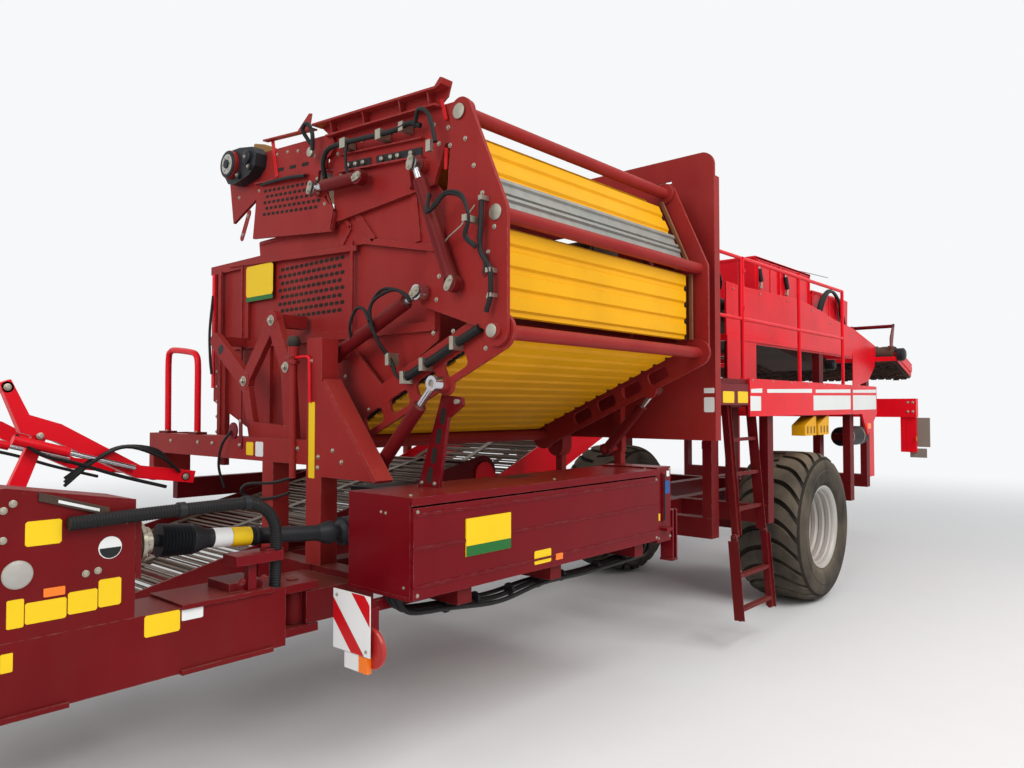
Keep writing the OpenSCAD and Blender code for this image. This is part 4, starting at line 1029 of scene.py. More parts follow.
class HARVESTER_OT_boom(bpy.types.Operator):
    """Chains, grey slats, pins, hoses, drive and blank plates of the boom's four sections"""
    bl_idname = "harvester.boom"
    bl_label = "Boom fittings"

    def execute(self, context):
        r = settings("hose").hose_radius * 1000
        # Lower section
        part = Piece("boom_lower_fittings")
        belt_chain(part, BOOM_PIN, KINK_LOW, 230, 150)
        pin_lock(part, 2736, (420, 2240), 1.2)
        pin_lock(part, 2718, (1270, 2060), 1.0)
        x = 2690
        part.of("hose")
        for k in (-1, 1):
            part.hose([(2742, 1120, 2500 + 9 * k), (2775, 1050, 2555), (2780, 930, 2556 + 12 * k),
                       (2778, 838, 2500), (2770, 812 + 9 * k, 2420), (2745, 850, 2304),
                       (x, 888 + 9 * k, 2201), (x - 8, 940, 2108), (x - 10, 1010, 2092 + 8 * k)], r)
        run = walk(bend([(x - 10, 985, 2090), (x - 12, 1070, 2122), (x - 14, 1155, 2160),
                         (x - 16, 1252, 2200), (x - 18, 1391, 2262), (x - 24, 1500, 2310),
                         (x - 28, 1545, 2330)], 8), 7)
        part.tube(run, [24 if i % 2 else 21 for i in range(len(run))], 14)
        part.hose([(2742, 612, 2330), (2772, 640, 2400), (2780, 700, 2480), (2780, 770, 2478),
                   (2776, 815, 2410)], r)
        part.of("zinc")
        for p in ((888, 2201), (1010, 2098), (1163, 2163), (1391, 2262)):
            part.block((LOW_FACE, p[0] - 14, p[1] - 34), (x + 22, p[0] + 14, p[1] + 34))
        part.bolts_on("x", LOW_FACE, ((470, 1850), (640, 1925), (1180, 2330), (1330, 2330), (1500, 2390),
                                      (1560, 2230), (420, 2120), (360, 1900)), 9)
        for p in ((400, 1662), (1640, 2310)):
            part.turned("x", (LOW_FACE if p[0] < 900 else 2681, *p), [(34, 0), (34, 5), (20, 8), (0, 8)], 20)
        part.done("boom_lower", "dark_red", 0.8)
        # Middle section, with the two grey slats above the upper tube
        part = Piece("boom_mid_fittings")
        belt_chain(part, KINK_LOW, KINK_HIGH, 110, 110)
        belt_chain(part, KINK_HIGH, TOP_PIN, 110, 110)
        part.of("galvanised")
        for s in (52, 162):
            steps = [(0, 0), (8, -17), (26, -17), (34, -5), (70, -5), (78, -19), (98, -19), (106, 0),
                     (106, 14), (0, 14)]
            part.plate("x", 716, 2534, [along(KINK_HIGH, TOP_PIN, s + a, BELT_FACE + b) for a, b in steps])
        part.of("rust")
        for off, wide in ((24, 22), (70, 14), (112, 26)):
            for p, q, s0, s1 in ((KINK_LOW, KINK_HIGH, 90, 540), (KINK_HIGH, TOP_PIN, 60, 560)):
                a, b = along(p, q, s0, off), along(p, q, s1, off)
                c, d = along(p, q, s1, off + wide), along(p, q, s0, off + wide)
                part.plate("x", 634, 656, [a, b, c, d])
        pin_lock(part, 2742, (1150, 2540), 0.5)
        pin_lock(part, 2736, (1400, 2560), 1.0)
        part.bolts_on("x", MID_FACE, ((1300, 2720), (1250, 2620), (1600, 2480), (1600, 2700),
                                      (1640, 2820), (1560, 3000), (1500, 3150), (1440, 3300),
                                      (1330, 3290), (1230, 2500)), 9)
        part.of("shaded red")
        part.plate("x", 2660, 2667, rounded((1585, 2640), 120, 34, 1.4))
        part.plate("x", 2660, 2667, rounded((1545, 2810), 90, 28, 1.3))
        part.of("plastic")
        part.plate("x", MID_FACE, 2668, rounded((1585, 2640), 96, 18, 1.4))
        part.plate("x", MID_FACE, 2668, rounded((1545, 2810), 66, 14, 1.3))
        part.of("hose")
        for k in (0, 1):
            part.hose([(2762 + 8 * k, 1289, 3026), (2776, 1274 + 12 * k, 2931),
                       (2780, 1344, 2948 + 14 * k), (2778, 1420, 2996 + 10 * k),
                       (2772, 1524, 2962 + 14 * k), (2766, 1566, 2861), (2758, 1530 + 12 * k, 2775),
                       (2740, 1590, 2712 + 10 * k)], r)
        part.hose([(2700, 1590, 2960), (2706, 1592, 2830), (2708, 1588, 2714), (2706, 1622, 2650),
                   (2704, 1651, 2603), (2700, 1651, 2481), (2700, 1622, 2400)], 13, 12)
        part.of("zinc")
        part.block((2662, 1540, 2840), (2786, 1566, 2872)).block((2662, 1582, 2950), (2716, 1608, 2974))
        part.block((2662, 1630, 2590), (2716, 1662, 2612)).block((2662, 1640, 2470), (2712, 1664, 2490))
        part.tube([(2700, 1300, 2760), (2716, 1380, 2800), (2720, 1470, 2842), (2716, 1560, 2930)], 4, 8)
        for p, x in ((KINK_HIGH, MID_FACE), (TOP_PIN, 2667)):
            part.of("zinc").turned("x", (x, *p), [(40, 0), (40, 6), (22, 9), (0, 9)], 20)
        part.done("boom_mid", "dark_red", 0.8)
        # Top section, with its channel, lock row and hoses
        part = Piece("boom_top_fittings")
        belt_chain(part, TOP_PIN, END_PIN, 180, 160)
        part.of("half lit dusty red").plate("x", LOW_FACE, 2646, [(159, 3677), (1262, 3604), (1304, 3640),
                                                        (1322, 3634), (1296, 3560), (1240, 3528),
                                                        (270, 3588)])
        part.plate("x", LOW_FACE, 2712, [(159, 3677), (1262, 3604), (1304, 3640), (1322, 3634),
                                         (1312, 3606), (1264, 3592), (160, 3664)])
        part.plate("x", LOW_FACE, 2690, [(270, 3588), (1240, 3528), (1240, 3518), (270, 3578)])
        for y in (330, 640, 960, 1190):
            z = 3677 - (y - 159) * 0.066
            part.plate("y", y, y + 8, [(2640, z - 88), (2684, z - 82), (2702, z - 12), (2640, z - 8)])
        part.of("plastic")
        for i in range(9):
            y = 300 + 92 * i
            part.plate("x", LOW_FACE, 2638.5, rounded((y, 3520 - (y - 300) * 0.07), 56, 14, -0.07))
        for y0, y1 in ((400, 650), (700, 1090)):
            part.plate("x", LOW_FACE, 2641, [(y0, 3412 - (y0 - 300) * 0.09),
                                             (y1, 3412 - (y1 - 300) * 0.09),
                                             (y1, 3364 - (y1 - 300) * 0.09),
                                             (y0, 3364 - (y0 - 300) * 0.09)])
        part.of("zinc")
        for y in (450, 520, 590, 760, 840, 900, 1010):
            part.turned("x", (2641, y, 3388 - (y - 300) * 0.09), [(15, 0), (15, 14), (9, 20), (0, 20)], 12)
        part.of("half lit dusty red").plate("x", LOW_FACE, 2672, [(380, 3350), (1110, 3286), (1110, 3276), (380, 3340)])
        part.plate("x", LOW_FACE, 2664, [(380, 3452), (1110, 3388), (1110, 3380), (380, 3444)])
        part.plate("x", LOW_FACE, 2666, [(985, 3275), (1005, 3275), (1030, 3140), (1012, 3120)])
        pin_lock(part, 2742, (1110, 3230), 1.3)
        pin_lock(part, 2736, (640, 3250), 0.2)
        part.bolts_on("x", LOW_FACE, ((330, 3470), (360, 3330), (1180, 3440), (1220, 3330), (1290, 3400),
                                      (560, 3500), (860, 3480)), 9)
        part.of("hose").tube(walk(bend([(2665, 240, 3330), (2700, 268, 3419), (2706, 331, 3484),
                                        (2706, 487, 3484), (2706, 650, 3472), (2706, 816, 3457),
                                        (2706, 960, 3450), (2704, 1064, 3461), (2690, 1132, 3434)], 6),
                                  14), 15, 12)
        part.hose([(2712, 518, 3470), (2722, 520, 3391), (2720, 532, 3310), (2716, 580, 3262)], r)
        part.hose([(2700, 1100, 3440), (2730, 1160, 3500), (2734, 1230, 3470), (2730, 1262, 3400),
                   (2730, 1290, 3300)], 12)
        part.of("zinc")
        part.block((2640, 462, 3452), (2724, 512, 3510)).block((2640, 792, 3428), (2724, 836, 3484))
        part.block((2640, 985, 3430), (2720, 1020, 3480)).block((2700, 1208, 3270), (2722, 1242, 3330))
        part.of("red film").plate("x", 2640, 2646, [(1268, 3180), (1290, 3180), (1296, 3290), (1272, 3296)])
        part.plate("x", 2646, 2652, [(1240, 3560), (1262, 3552), (1300, 3440), (1278, 3436)])
        part.done("boom_top", "dark_red", 0.8)
        # End section, with the pulley of its drive
        part = Piece("boom_end_fittings")
        belt_chain(part, END_PIN, DRIVE_PIN, 190, 150)
        cover = [(-840, 3600), (-830, 3530), (-790, 3480), (-700, 3462), (-520, 3488), (-440, 3540),
                 (-425, 3620), (-470, 3670), (-640, 3700), (-770, 3704), (-825, 3668)]
        part.of("plastic").plate("x", 2662, 2744, cover)
        part.turned("x", (2771, *DRIVE_PIN), [(92, 0), (92, 6), (84, 12), (70, 12), (66, 4), (30, 4),
                                              (30, 20), (0, 22)], 40)
        part.of("grey lens").turned("x", (2776, *DRIVE_PIN),
                                    [(70, 0), (70, 4), (62, 7), (34, 5), (26, 5)], 40)
        part.of("zinc").bolts("x", ring("x", (2784, *DRIVE_PIN), 48, 6), 5)
        part.of("plastic").turned("x", (2744, -530, 3610), [(46, 0), (46, 16), (34, 24), (0, 26)], 24)
        part.turned("x", (2744, -640, 3510), [(24, 0), (24, 14), (0, 18)], 18)
        part.turned("x", (2744, -500, 3540), [(22, 0), (22, 14), (0, 18)], 18)
        part.of("zinc").bolts("x", [(2768, -530, 3610), (2761, -640, 3510), (2761, -500, 3540)], 8)
        part.of("red film").plate("x", MID_FACE, 2667, [(-372, 3704), (-338, 3702), (-282, 3452),
                                                        (-316, 3446)])
        part.of("tan").plate("x", 2588, 2600, [(-700, 3660), (-704, 3772), (-688, 3776), (-560, 3742),
                                               (-430, 3690), (-440, 3670)])
        part.of("half lit dusty red").plate("x", MID_FACE, 2700, [(-420, 3716), (150, 3660), (150, 3650), (-420, 3706)])
        part.plate("x", MID_FACE, 2672, [(-60, 3690), (70, 3775), (96, 3770), (70, 3668)])
        part.plate("x", MID_FACE, 2690, [(-540, 3452), (60, 3398), (60, 3388), (-540, 3442)])
        for y0, z0, y1, z1 in ((270, 3240, 330, 3130), (330, 3130, 300, 3012)):
            part.plate("x", MID_FACE, 2672, [(y0, z0), (y1, z1), (y1 - 14, z1), (y0 - 14, z0)])
        part.plate("x", MID_FACE, 2666, rounded((-690, 3190), 230, 46, 1.05))
        part.of("zinc").bolts("x", [(2666, -660, 3250), (2666, -722, 3130)], 9)
        part.bolts_on("x", MID_FACE, ((-300, 3600), (-180, 3590), (-60, 3570), (120, 3500), (-520, 3400),
                                      (150, 3350), (230, 3180), (-780, 3400)), 8)
        pin_lock(part, 2742, (190, 3270), 1.2)
        part.of("hose").hose([(2700, 136, 3560), (2740, 110, 3640), (2744, 160, 3670), (2740, 210, 3600),
                              (2732, 200, 3500)], 13)
        part.tube(walk(bend([(2672, -480, 3432), (2690, -300, 3416), (2696, -100, 3400),
                             (2690, 60, 3380)], 6), 12), 11, 10)
        part.of("zinc").turned("x", (2712, 172, 3495), [(30, 0), (30, 22), (18, 28), (0, 28)], 18)
        part.done("boom_end", "dark_red", 0.8)
        return {"FINISHED"}


class HARVESTER_OT_front(bpy.types.Operator):
    """Ribs, blank plates, bolts and levers on the bunker's front wall and its frame"""
    bl_idname = "harvester.front"
    bl_label = "Front frame fittings"

    def execute(self, context):
        part = Piece("front_frame_fittings")
        part.of("half lit dusty red").plate("x", WALL_FACE, 2613, [(-1010, 2975), (-1010, 2945), (478, 2868),
                                                         (478, 2898)])
        for y0, y1 in ((-1160, -1120), (-840, -820), (420, 445)):
            part.plate("x", WALL_FACE, 2612, [(y0, 1700), (y1, 1700), (y1, 2930), (y0, 2930)])
        part.of("yellow film").label("x", WALL_FACE, (-785, 2702), (-441, 2919), 2.5)
        part.of("green film").label("x", WALL_FACE, (-785, 2672), (-441, 2704), 2.5)
        part.of("yellow film").label("x", POST_FACE, (408, 1538), (468, 1968))
        part.label("x", POST_FACE, (-269, 1640), (-186, 1722))
        part.of("white film").label("x", POST_FACE, (-160, 1636), (-72, 1727))
        part.of("zinc")
        for p in ((-74, 2474), (-394, 2106), (-273, 1700), (142, 1690), (90, 2179)):
            part.turned("x", (2833, *p), [(34, 0), (34, 5), (26, 7), (0, 7)], 20)
            part.bolts("x", [(2840, *p)], 16)
        part.bolts_on("x", POST_FACE, ((500, 1600), (505, 1660), (640, 1700), (720, 1640), (430, 2200),
                                       (-700, 1700), (-900, 1700), (-1300, 1700), (300, 1700)), 10)
        # Handle and cap of the support tube
        part.of("rubber").turned("z", (2893, 268, 2290), [(20, -8), (30, 0), (38, 18), (38, 40), (28, 60),
                                                          (0, 66)], 20)
        part.of("sunlit red").hose([(2893, 290, 2226), (2893, 380, 2228), (2893, 424, 2216),
                                    (2893, 430, 2150), (2893, 436, 1964)], 8)
        part.of("half lit dusty red").turned("z", (2893, 268, 2190), [(20, 0), (34, 0), (34, 18), (20, 18)], 20)
        # Lever beside the post's foot
        part.of("shaded red").plate("x", POST_FACE, 2890, rounded((-330, 1775), 200, 34, 1.6))
        part.turned("x", (POST_FACE, -420, 1790), [(52, 0), (52, 10), (0, 12)], 18)
        part.of("zinc").bolts("x", [(2890, -330, 1850), (2890, -332, 1700)], 9)
        part.of("hose").hose([(2890, -430, 1790), (2930, -480, 1700), (2930, -520, 1560),
                              (2900, -500, 1420)], 9, 8)
        part.hose([(2885, 250, 1530), (2960, 160, 1500), (2990, -60, 1480), (2960, -180, 1420),
                   (2900, -120, 1380), (2890, 60, 1400), (2890, 230, 1440)], 9, 8)
        # Edge strip with bolts at the wall's right end
        part.of("sunlit red").plate("x", WALL_FACE, 2612,
                                    [(-1250, 2080), (-1215, 2080), (-1215, 2920), (-1250, 2920)])
        part.of("zinc").bolts("x", [(WALL_FACE, -1180, z) for z in range(1760, 2300, 110)], 9)
        part.of("hose").hose([(2612, -1235, 2760), (2640, -1225, 2500), (2640, -1215, 2300),
                              (2640, -1190, 2180)], 10, 8)
        part.done("chassis", "dark_red", 0.8)
        return {"FINISHED"}


# Plates and frames that stand on the frame's own parts

class HARVESTER_OT_front_frame(bpy.types.Operator):
    """Post, beam, gusset, straddle links and support tube in front of the bunker"""
    bl_idname = "harvester.front_frame"
    bl_label = "Front frame"

    def execute(self, context):
        part = Piece("front_frame_links").of("half lit dusty red")
        x0, x1 = 2771, POST_FACE
        part.block((x0, 385, 1060), (x1, 530, 2330)).block((x0, -1580, 1610), (x1, 385, 1750))
        part.block((x0, -80, 1060), (x1, 40, 1610)).block((2601, -1650, 1400), (x1, -1580, 1750))
        for x in (x0 - 1.5, x1 - 18.5):
            part.plate("x", x, x + 20, [(500, 1550), (500, 2080), (560, 2080), (1000, 1550)])
        part.plate("x", x0 - 2, x1 + 2, bar((548, 2090), (1010, 1550), 22))
        part.plate("x", x0 - 1, x0 + 40, rounded((765, 1620), 270, 120, 0.0))
        part.tube([(2686, 840, 1620), (2775, 840, 1620)], 22, 20)
        for y in (-1130, -530):
            part.block((2600, y, 1630), (x0, y + 60, 1730))
        for i, (a, b, wide) in enumerate((((-74, 2474), (-394, 2106), 90),
                                          ((-394, 2106), (-273, 1700), 80),
                                          ((-74, 2474), (90, 2179), 110), ((90, 2179), (142, 1690), 110),
                                          ((-300, 1800), (160, 1780), 90))):
            part.plate("x", 2791 - 0.5 * i, 2831 + 0.5 * i, bar(a, b, wide))
        part.plate("x", 2789, 2830, rounded((-592, 2248), 594, 110, math.atan2(284, -396)))
        for p in ((-74, 2474), (-394, 2106), (90, 2179)):
            part.plate("x", 2788, 2834, rounded(p, 124.1, 124, 0.0, 12))
        part.of("plastic").plate("x", 2830, 2831, rounded((-700, 2325), 76, 56, 0.6))
        part.of("half lit dusty red")
        part.block((2600, -114, 2434), (2791, -34, 2514)).block((2600, -820, 2360), (2791, -760, 2420))
        part.tube([(2893, 268, 1530), (2893, 268, 2230)], 20, 20)
        part.tube([(2893, 268, 2230), (2893, 268, 2290)], 32, 20)
        part.done("chassis", "dark_red", 2.0, replaces=("front_frame",))
        hoop = Piece("hoop_on_beam").of("sunlit red")
        hoop.hose([(2826, -1470, 1750), (2826, -1474, 2000), (2826, -1474, 2290), (2826, -1440, 2345),
                   (2826, -1360, 2352), (2826, -1120, 2326), (2826, -1050, 2300), (2826, -1024, 2230),
                   (2826, -1022, 2000), (2826, -1020, 1750)], 22, 14, 5)
        for y in (-1470, -1020):
            hoop.of("shaded frame red").block((2786, y - 60, 1750), (2866, y + 60, 1766))
            hoop.of("zinc").bolts("z", [(2800, y - 42, 1766), (2852, y + 42, 1766)], 9)
        hoop.done("chassis", "bright_red", 0.8)
        arms = Piece("intake_lift_arms")
        for y in (-340, -1340):
            arms.of("sunlit red").plate("y", y, y + 60, [(4215, 2060), (4165, 2080), (4080, 1900),
                                                         (3930, 1850), (3520, 1610), (3200, 1560),
                                                         (3215, 1490), (3540, 1540), (3960, 1760),
                                                         (4120, 1810)])
            arms.plate("y", y + 10, y + 50, [(4060, 1800), (3990, 1800), (4190, 1240), (4290, 1240)])
            arms.of("zinc").bolts("y", [(4180, y + 60, 2040), (3260, y + 60, 1530), (4030, y + 60, 1790)], 13)
            arms.of("chrome").tube([(3560, y + 80, 1600), (3900, y + 80, 1700)], 14, 12)
            arms.of("sunlit red").tube([(3900, y + 80, 1700), (4160, y + 80, 1776)], 26, 16)
            arms.of("hose").hose([(4150, y + 84, 1800), (4040, y + 96, 1700), (3860, y + 90, 1640),
                                  (3640, y + 80, 1560), (3380, y + 70, 1480)], 10, 8)
        arms.of("sunlit red").tube([(4180, -1340, 2040), (4180, -280, 2040)], 30, 16)
        arms.tube([(3260, -1340, 1530), (3260, -280, 1530)], 26, 16)
        arms.of("hose")
        for k in range(3):
            arms.hose([(3300, -330 + 30 * k, 1560), (3420, -300 + 30 * k, 1690 - 20 * k),
                       (3620, -290 + 30 * k, 1720), (3780, -300 + 30 * k, 1650),
                       (3900, -320, 1560 - 20 * k)], 9, 8)
        arms.done("intake", "bright_red", 1.5)
        return {"FINISHED"}


def bar(p, q, wide):
    """Outline of a flat bar from p to q with square ends."""
    n = math.dist(p, q)
    return [along(p, q, 0, -wide / 2), along(p, q, n, -wide / 2), along(p, q, n, wide / 2),
            along(p, q, 0, wide / 2)]


def holes(part, x, start, columns, rows, pitch, size, turn=0.0):
    """Staggered grid of hexagonal holes, drawn as dark hexagons on a sheet: painted shade where the sheet is
    open.
    """
    c, s = math.cos(turn), math.sin(turn)
    for j in range(rows):
        for i in range(columns):
            a, b = (i + j % 2 / 2) * pitch[0], j * pitch[1]
            y, z = start[0] + c * a - s * b, start[1] + s * a + c * b
            half = [(0.72, 0), (0.5, 0.36), (-0.5, 0.36), (-0.72, 0), (-0.5, -0.36), (0.5, -0.36)]
            part.plate("x", x, x + 0.8, [(y + size * (c * u - s * v), z + size * (s * u + c * v)) for u,
                                         v in half])


class HARVESTER_OT_panels(bpy.types.Operator):
    """Hood sides, housings, boom panels, box lever, rear beam, chocks, air tank and rear web"""
    bl_idname = "harvester.panels"
    bl_label = "Panels and housings"

    def execute(self, context):
        hood = Piece("hood_panels").of("sunlit red")
        hood.plate("y", 984, 1003, [(-1158, 2548), (-1158, 3095), (-1450, 3085), (-3000, 3105),
                                    (-3600, 3045), (-4320, 2925), (-4900, 2835), (-5530, 2735),
                                    (-5602, 2700), (-5602, 2548)])
        hood.plate("y", 1003, 1020, [(-1500, 2565), (-4560, 2565), (-4560, 2615), (-1500, 2615)])
        hood.plate("y", 1000, 1012, [(-1158, 2190), (-1158, 2600), (-1780, 2600), (-1780, 2190)])
        hood.plate("y", 1000, 1012, [(-4640, 2600), (-4640, 2180), (-5250, 2280), (-5530, 2480),
                                     (-5530, 2600)])
        for x0, x1, y0, y1, z1 in ((-4270, -2660, 30, 620, 3600), (-5590, -4400, -120, 600, 3420)):
            hood.block((x0, y0, 3060), (x1, y1, z1 - 6))
            hood.block((x0 - 8, y0 - 8, z1 - 30), (x1 + 8, y1 + 8, z1))
            for k in range(1, 4):
                x = x0 + (x1 - x0) * k / 4
                hood.block((x - 14, y1 - 2, 3070), (x + 14, y1 + 8, z1 - 32))
                hood.block((x - 14, y0 + 20, z1 - 2), (x + 14, y1 - 20, z1 + 9))
                hood.block((x - 14, y0 - 8, 3070), (x + 14, y0 + 2, z1 - 32))
        for y in (60, 540):
            hood.block((-5590, y, 3020), (-2660, y + 40, 3062))
        for x in (-3230, -4690, -5590):
            hood.block((x, 66, 2610), (x + 40, 92, 3022)).block((x, 60, 3020), (x + 40, 560, 3060))
        hood.block((-5662, -1500, 1806), (-5558, 1500, 2050))
        for y in (-1490, 1370):
            hood.block((-5645, y, 1350), (-5597, y + 120, 1830))
        hood.done("chassis", "bright_red", 3.0)
        end = Piece("boom_end_panel").of("half lit dusty red")
        end.plate("x", 2640.5, 2661.4, [(190, 3530), (60, 3400), (330, 3110), (300, 3000), (-600, 3085),
                                        (-560, 3350), (-860, 3230), (-920, 3560), (-740, 3600)])
        # Holes and slots drawn as dark plates: painted shade where the panel is open
        end.of("groove")
        holes(end, 2661.4, (-455, 3228), 12, 5, (54, 39), 28, -0.0873)
        for i in range(3):
            end.plate("x", 2661.4, 2662.2, rounded((-260 + 140 * i, 3492 - 12 * i), 80, 24, -0.08))
        end.done("boom_end", "dark_red", 1.0)
        wall = Piece("wall_panels").of("half lit dusty red")
        wall.plate("x", 2586, 2600.5, [(-600, 2940), (-620, 3070), (330, 3075), (1150, 3150),
                                       (1300, 2990), (1290, 2860), (1219, 2770), (547, 2900)])
        for p, q, wide in (((274, 3160), (424, 3017), 26), ((424, 3017), (342, 2928), 26),
                           ((450, 3120), (645, 2909), 40), ((991, 3110), (1028, 2842), 44),
                           ((547, 2915), (1219, 2775), 34), ((-590, 3060), (300, 3066), 22)):
            wall.plate("x", WALL_FACE, 2613, bar(p, q, wide))
        # Holes drawn as dark hexagons: painted shade where the wall is open
        wall.of("groove")
        holes(wall, 2572, (-395, 2535), 13, 8, (55, 46), 32)
        wall.done("chassis", "dark_red")
        low = Piece("box_lever").of("shaded red")
        low.plate("x", 2565, 2585, [(1005, 1505), (1170, 1505), (1240, 1880), (1350, 1950), (1340, 1990),
                                    (1190, 2005)])
        # Slots drawn as dark plates on both faces: painted shade where the lever is open
        low.of("groove")
        for i in range(4):
            for x in (2564.2, 2585):
                low.plate("x", x, x + 0.8, rounded((1100 + 34 * i, 1575 + 105 * i), 92, 40, 1.33))
        low.of("zinc").tube([(2585, 1320, 1968), (2600, 1320, 1968), (2609, 1320, 1968)], 14, 12)
        low.of("shaded red").block((640, 1389, 1140), (670, 1402, 1480))
        for x in (470, 520):
            low.block((x, 1300, 850), (x + 15, 1400, 1210))
        low.block((470, 1300, 850), (545, 1400, 865)).block((470, 1300, 1195), (560, 1380, 1210))
        low.of("shaded frame red").block((-3620, 1010, 2130), (-3280, 1380, 2170))
        low.done("chassis", "dark_red", 1.0)
        beam = Piece("drawbar_flanges").of("shaded beam red")
        for z0, z1 in ((790, 812), (1068, 1090)):
            beam.block((3400, 586, z0), (3840, 914, z1))
        beam.block((4280, 586, 784), (4880, 914, 806)).block((3430, 660, 1078), (3600, 860, 1130))
        beam.done("drawbar", "dark_red", 1.5)
        chocks = Piece("chocks_and_holder")
        for x in (-2360, -2720):
            chocks.of("yellow").plate("y", 1240, 1370, [(x, 1660), (x + 300, 1660), (x + 300, 1760),
                                                        (x + 60, 1850), (x, 1850)])
            for k in range(3):
                chocks.of("rubber").plate("y", 1370, 1371,
                                          [(x + 40 + 86 * k, 1680), (x + 66 + 86 * k, 1680),
                                           (x + 66 + 86 * k, 1750), (x + 40 + 86 * k, 1750)])
        chocks.of("shaded frame red")
        chocks.block((-2720, 1290, 1850), (-2060, 1310, 2130))
        chocks.block((-3720, 1100, 1560), (-3620, 1300, 1640))
        chocks.of("plastic").turned("x", (0, 1150, 1600),
                                    [(0, -4408), (60, -4406), (98, -4399), (110, -4384), (110, -3736),
                                     (98, -3721), (60, -3714), (0, -3712)], 36)
        chocks.of("zinc")
        for x in (-4250, -3870):
            chocks.turned("x", (x, 1150, 1600), [(110, -12), (113, -12), (113, 12), (110, 12)], 36)
        chocks.done("chassis", "yellow", 2.0, replaces=("stowage",))
        web = Piece("rear_web_belt").of("rubber")
        web.plate("y", -1470, 1220, rounded((-6050, 2545), 906.7, 220, math.atan2(190, 660), 10))
        web.of("sunlit red")
        for y in (-1500, 1235):
            web.plate("y", y, y + 15, bar(*REAR_WEB, 180))
            web.block((-5760, y, 2555), (-5600, y + 15, 2600))
        web.block((-5602, 1000, 2552), (-5560, 1252, 2608))
        for a in REAR_WEB:
            web.tube([(a[0], -1485, a[1]), (a[0], 1237, a[1])], 40, 16)
        web.done("chassis", "rubber", 0.0, replaces=("rear_web",))
        return {"FINISHED"}


# Webs, hood and rear

class HARVESTER_OT_webs(bpy.types.Operator):
    """Closely spaced rods of the sieving webs"""
    bl_idname = "harvester.webs"
    bl_label = "Web rods"

    def execute(self, context):
        for name, body, a, b in (("web_rods_rear", "chassis", (760, 1190), (-2850, 2700)),
                                 ("web_rods_front", "intake", (4250, 640), (900, 1400))):
            part = Piece(name).of("steel")
            pitch, rod, faces = 51, 6, (-84, 84)
            n = int(math.dist(a, b) / pitch)
            for face in faces:
                for i in range(1, n):
                    x, z = along(a, b, i * math.dist(a, b) / n, face)
                    part.tube([(x, -1515, z), (x, -155, z)], rod, 6)
            part.done(body, "steel")
        return {"FINISHED"}


class HARVESTER_OT_deck(bpy.types.Operator):
    """Stripes, blank plates, reflector and hoses along the platform"""
    bl_idname = "harvester.deck"
    bl_label = "Platform and skirt"

    def execute(self, context):
        y = SKIRT_FACE
        part = Piece("skirt_fittings").of("white film")
        low = lambda x: 2059 + (-783 - x) * 0.0137
        for a, b in ((-783, -1008), (-1113, -2174), (-2274, -3312), (-3394, -4223)):
            part.plate("y", y - 1, y + 1.2, [(a, low(a)), (b, low(b)), (b, low(b) + 38), (a, low(a) + 32)])
        for a, b in ((-771, -981), (-2214, -3309), (-3392, -4213)):
            part.plate("y", y - 1, y + 1.2, [(a, 1906), (b, 1906 + (a - b) * 0.008), (b, low(b) - 30),
                                             (a, low(a) - 26)])
        part.of("plastic").plate("y", y - 1, y + 0.8, [(-3345, 1862), (-3352, 1862), (-3352, 2178),
                                                       (-3345, 2178)])
        part.of("orange lens").label("y", y, (-3985, 1690), (-3865, 1752), 9)
        part.of("zinc").bolts("y", [(x, y, 2166) for x in range(-4180, -800, 420)], 7)
        part.of("shaded red").block((-745, 1384, 1955), (-180, 1394, 2128))
        part.of("yellow film")
        part.label("y", 1394, (-476, 1973), (-276, 2066)).label("y", 1394, (-734, 1973), (-544, 2068))
        part.of("white film")
        part.label("x", 360, (1560, 1903), (1640, 2009)).label("x", 360, (1560, 2038), (1640, 2075))
        part.of("sunlit red")
        for x in (-760, -2020, -3260):
            part.turned("z", (x, 1340, 2170), [(34, 0), (34, 8), (19, 14), (17.2, 60)], 20)
        # Hoses below the deck
        part.of("hose")
        for k in range(3):
            part.hose([(-1000, 1090 + 24 * k, 2060), (-1700, 1086 + 24 * k, 2030 - 10 * k),
                       (-2500, 1090 + 24 * k, 2056), (-3300, 1086 + 24 * k, 2026),
                       (-3600, 1080 + 24 * k, 2060)], 10, 8, 8)
        part.done("chassis", "bright_red", 0.6)
        return {"FINISHED"}


